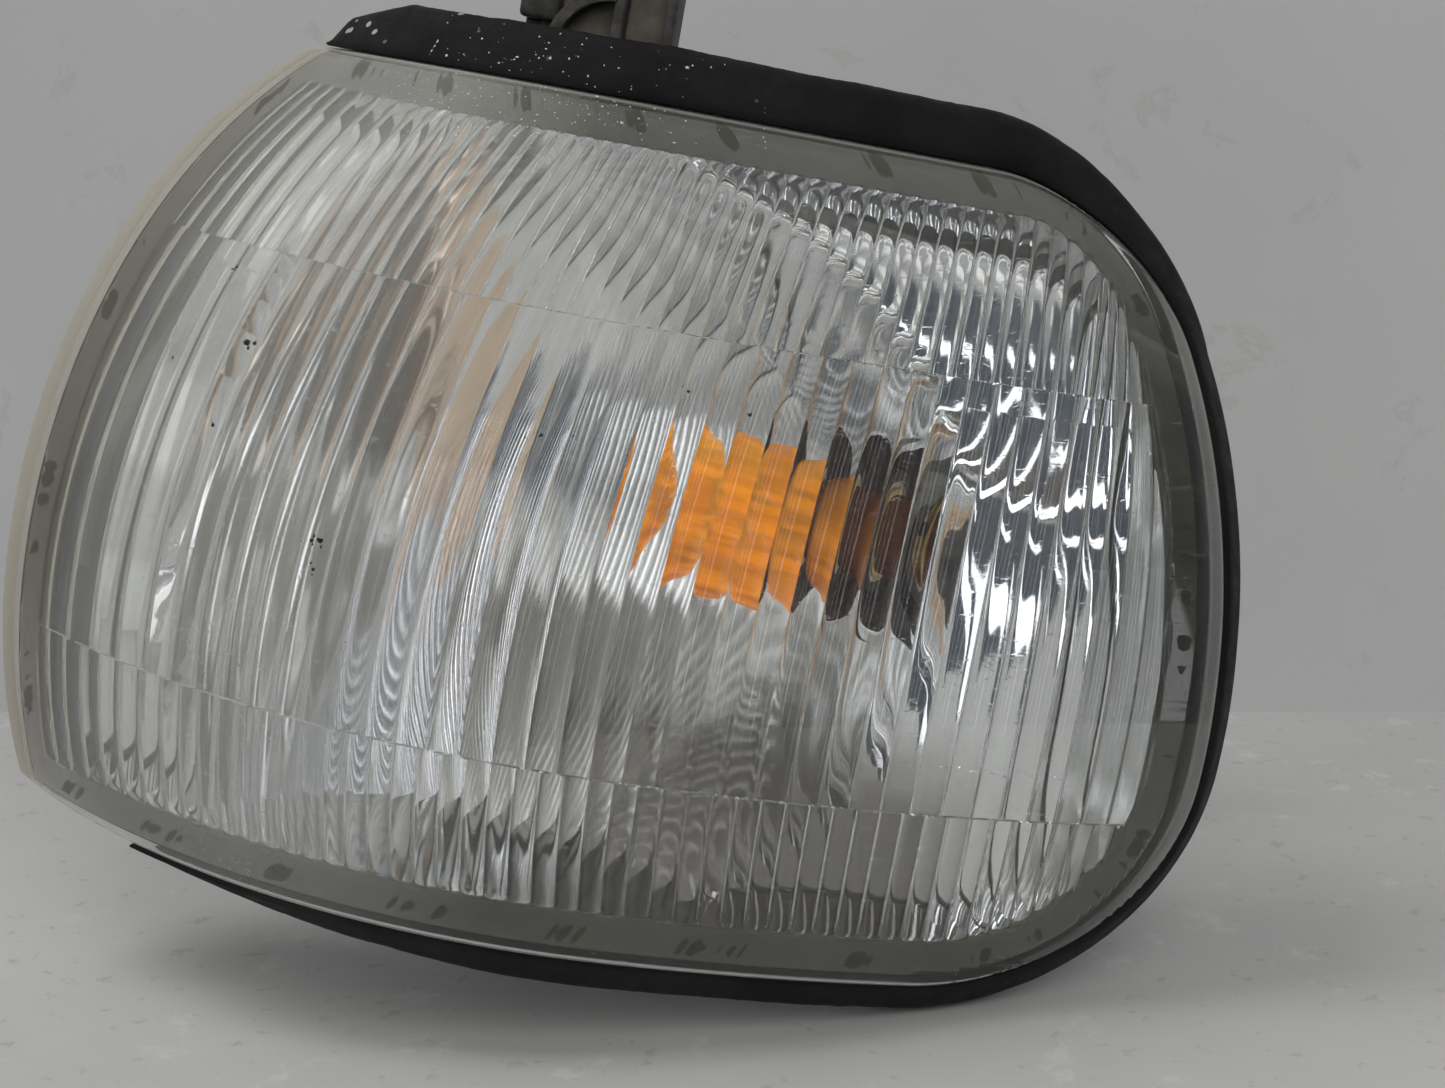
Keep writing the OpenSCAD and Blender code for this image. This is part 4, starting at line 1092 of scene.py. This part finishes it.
def floor_material():
    m = Mat("pale_floor")
    v = m.objpos()
    a = m.noise(9, 5, 0.6, v)
    b = m.noise(260, 4, 0.6, v)
    b2 = m.noise(70, 5, 0.7, v)
    c = m.mix(m.ramp(a, [(0.3, 0.0), (0.7, 1.0)]), (0.46, 0.46, 0.465), (0.53, 0.53, 0.53))
    c = m.mix(m.ramp(b, [(0.62, 0.0), (0.70, 0.55)]), c, (0.36, 0.33, 0.31))
    c = m.mix(m.ramp(b2, [(0.60, 0.0), (0.66, 0.5)]), c, (0.62, 0.62, 0.62))
    p = m.n("ShaderNodeBsdfPrincipled", {"Base Color": c, "Roughness": 0.55, "Specular IOR Level": 0.3}).outputs[0]
    # beyond the near edge of the table the lamp sees the room
    g = m.n("ShaderNodeVectorMath", {0: v, 1: tuple(-FH)}, operation="DOT_PRODUCT").outputs["Value"]
    dist = m.n("ShaderNodeVectorMath", {0: v, 1: tuple(TABLE_C)}, operation="DISTANCE").outputs["Value"]
    edge = m.math("MULTIPLY", m.math("GREATER_THAN", dist, 0.185), m.math("GREATER_THAN", g, float(TABLE)))
    cam_ray = m.n("ShaderNodeLightPath").outputs["Is Camera Ray"]
    gate = m.math("MULTIPLY", edge, m.math("SUBTRACT", 1.0, cam_ray))
    tr = m.n("ShaderNodeBsdfTransparent").outputs[0]
    return m.out(m.shader_mix(gate, p, tr))


def wall_material():
    m = Mat("pale_wall")
    v = m.objpos()
    a = m.noise(6, 5, 0.55, v)
    b = m.noise(38, 6, 0.7, v, 0.6)
    c = m.mix(m.ramp(a, [(0.3, 0.0), (0.7, 1.0)]), (0.56, 0.57, 0.58), (0.63, 0.63, 0.63))
    c = m.mix(m.ramp(b, [(0.60, 0.0), (0.64, 0.30), (0.68, 0.0)]), c, (0.45, 0.42, 0.40))
    p = m.n("ShaderNodeBsdfPrincipled", {"Base Color": c, "Roughness": 0.5, "Specular IOR Level": 0.3}).outputs[0]
    tr = m.n("ShaderNodeBsdfTransparent").outputs[0]
    bf = m.n("ShaderNodeNewGeometry").outputs["Backfacing"]
    return m.out(m.shader_mix(bf, p, tr))


def face_to(o, d):
    me = o.data
    if Vector(d.tolist()).dot(me.polygons[0].normal) < 0:
        me.flip_normals()


face_to(floor, U)
face_to(back, -FH)
shade(floor, floor_material())
shade(back, wall_material())


# ------------------------------------------------------------------ light
def area(name, pos, target, size, power, color=(1, 1, 1), size_y=None):
    d = bpy.data.lights.new(name, "AREA")
    d.shape = "RECTANGLE"
    d.size, d.size_y = size, size_y or size
    d.energy = power
    d.color = color
    o = bpy.data.objects.new(name, d)
    bpy.context.scene.collection.objects.link(o)
    o.location = Vector(pos)
    o.rotation_mode = "QUATERNION"
    o.rotation_quaternion = (Vector(target) - Vector(pos)).to_track_quat("-Z", "Y")
    o.visible_glossy = False
    o.visible_transmission = False
    return o


def rel(r, u, f):
    """point from the lamp's middle, in metres: right, up, away"""
    c = (np.array([-15.0, 45.0, 0.0]) - HOME) * MM
    return tuple(c + r * CRIGHT + u * U + f * FH)


area("key_softbox", rel(-0.55, 1.05, 0.10), rel(0, 0, 0), 0.7, 8.2, (1.0, 0.99, 0.95))
area("fill_softbox", rel(0.2, 0.8, -0.9), rel(-0.1, 0.1, 0.2), 0.9, 6.4, (1.0, 0.99, 0.96))

w = Mat("soft_room", world=True)
nrm = w.n("ShaderNodeTexCoord").outputs["Generated"]


def wdot(ax):
    return w.n("ShaderNodeVectorMath", {0: nrm, 1: tuple(float(x) for x in ax)}, operation="DOT_PRODUCT").outputs["Value"]


up, fw, rt = wdot(U), wdot(-FH), wdot(CRIGHT)
az = w.math("ARCTAN2", rt, fw)
base = w.ramp(w.math("MULTIPLY_ADD", up, 0.5, 0.5), [(0.0, 0.30), (0.40, 0.34), (0.55, 0.50), (1.0, 0.66)])
# panels and gaps of the room, which the bowl and the flutes break up
bars = w.ramp(w.math("MULTIPLY_ADD", w.math("SINE", w.math("MULTIPLY_ADD", az, 17.0, 1.0)), 0.5, 0.5), [(0.30, 1.0), (0.48, 0.42)])
bars2 = w.ramp(w.math("MULTIPLY_ADD", w.math("SINE", w.math("MULTIPLY", up, 13.0)), 0.5, 0.5), [(0.35, 1.12), (0.6, 0.72)])
lv = w.math("MULTIPLY", w.math("MULTIPLY", bars, bars2), 1.50)
base = w.n("ShaderNodeVectorMath", {0: base, 1: w.n("ShaderNodeCombineXYZ", {0: lv, 1: lv, 2: lv}).outputs[0]}, operation="MULTIPLY").outputs["Vector"]
base = w.n("ShaderNodeVectorMath", {0: base, 1: (1.0, 1.0, 0.99)}, operation="MULTIPLY").outputs["Vector"]


def span(v, lo, hi, soft):
    """1 between lo and hi, fading over soft"""
    g1 = w.n("ShaderNodeMapRange", {0: v, 1: lo - soft, 2: lo, 3: 0.0, 4: 1.0}).outputs[0]
    g2 = w.n("ShaderNodeMapRange", {0: v, 1: hi, 2: hi + soft, 3: 1.0, 4: 0.0}).outputs[0]
    return w.math("MULTIPLY", g1, g2)


# dark side of the room, low and to the right of the viewer, and the dark shape of the viewer
low_band = w.math("MAXIMUM", w.math("MULTIPLY", span(az, -0.28, 1.40, 0.10), span(up, -0.60, 0.06, 0.06)),
                  w.math("MULTIPLY", span(az, 0.56, 1.50, 0.06), span(up, -0.1, 0.86, 0.05)))
body = w.math("MAXIMUM", w.math("MULTIPLY", span(az, 0.12, 0.90, 0.05), span(up, 0.20, 0.56, 0.04)),
              w.math("MULTIPLY", span(az, -0.95, -0.02, 0.05), span(up, 0.50, 0.93, 0.03)))
col = w.mix(low_band, base, (0.040, 0.052, 0.072))
col = w.mix(w.math("MULTIPLY", body, 0.95), col, (0.085, 0.078, 0.072))
# tall windows, seen only by way of the bowl
inside = w.math("GREATER_THAN", w.n("ShaderNodeLightPath").outputs["Transmission Depth"], 0.5)
win = None
for a0, half, lo, hi, st in ((0.20, 0.02, -0.5, 0.10, 1.6), (0.60, 0.035, -0.5, 0.80, 2.6), (0.86, 0.022, -0.5, 0.80, 1.9), (1.15, 0.03, -0.45, 0.8, 2.2), (-0.62, 0.06, -0.3, 0.5, 1.4)):
    g = w.math("MULTIPLY", w.math("MULTIPLY", span(az, a0 - half, a0 + half, 0.012), span(up, lo, hi, 0.03)), st)
    win = g if win is None else w.math("ADD", win, g)
win = w.math("MULTIPLY", win, inside)
wn = w.n("ShaderNodeCombineXYZ", {0: win, 1: win, 2: w.math("MULTIPLY", win, 1.06)}).outputs[0]
tot = w.n("ShaderNodeVectorMath", {0: col, 1: wn}, operation="ADD").outputs["Vector"]
# seen directly, the surroundings are a plain pale grey
tot = w.mix(w.n("ShaderNodeLightPath").outputs["Is Camera Ray"], tot, (0.40, 0.40, 0.395))
bg = w.n("ShaderNodeBackground", {"Color": tot, "Strength": 1.0}).outputs[0]
bpy.context.scene.world = w.out(bg, world=True)

# ------------------------------------------------------------------ camera
cam_d = bpy.data.cameras.new("camera")
cam_d.lens, cam_d.sensor_width, cam_d.sensor_fit = 51.64, 36.0, "AUTO"
cam_d.clip_start, cam_d.clip_end = 0.01, 20.0
cam = bpy.data.objects.new("camera", cam_d)
bpy.context.scene.collection.objects.link(cam)
R = Matrix(((CRIGHT[0], CUP[0], -FWD[0]), (CRIGHT[1], CUP[1], -FWD[1]), (CRIGHT[2], CUP[2], -FWD[2])))
cam.rotation_mode = "QUATERNION"
cam.rotation_quaternion = R.to_quaternion()
cam.location = Vector(((CAMP - HOME) * MM).tolist())
bpy.context.scene.camera = cam

sc = bpy.context.scene
sc.view_settings.view_transform = "Standard"
sc.view_settings.look = "None"
c = sc.cycles
c.max_bounces, c.diffuse_bounces, c.glossy_bounces, c.transmission_bounces, c.transparent_max_bounces = 24, 3, 12, 16, 16
c.sample_clamp_indirect = 6.0
c.blur_glossy = 0.3
c.caustics_reflective = True
c.caustics_refractive = True
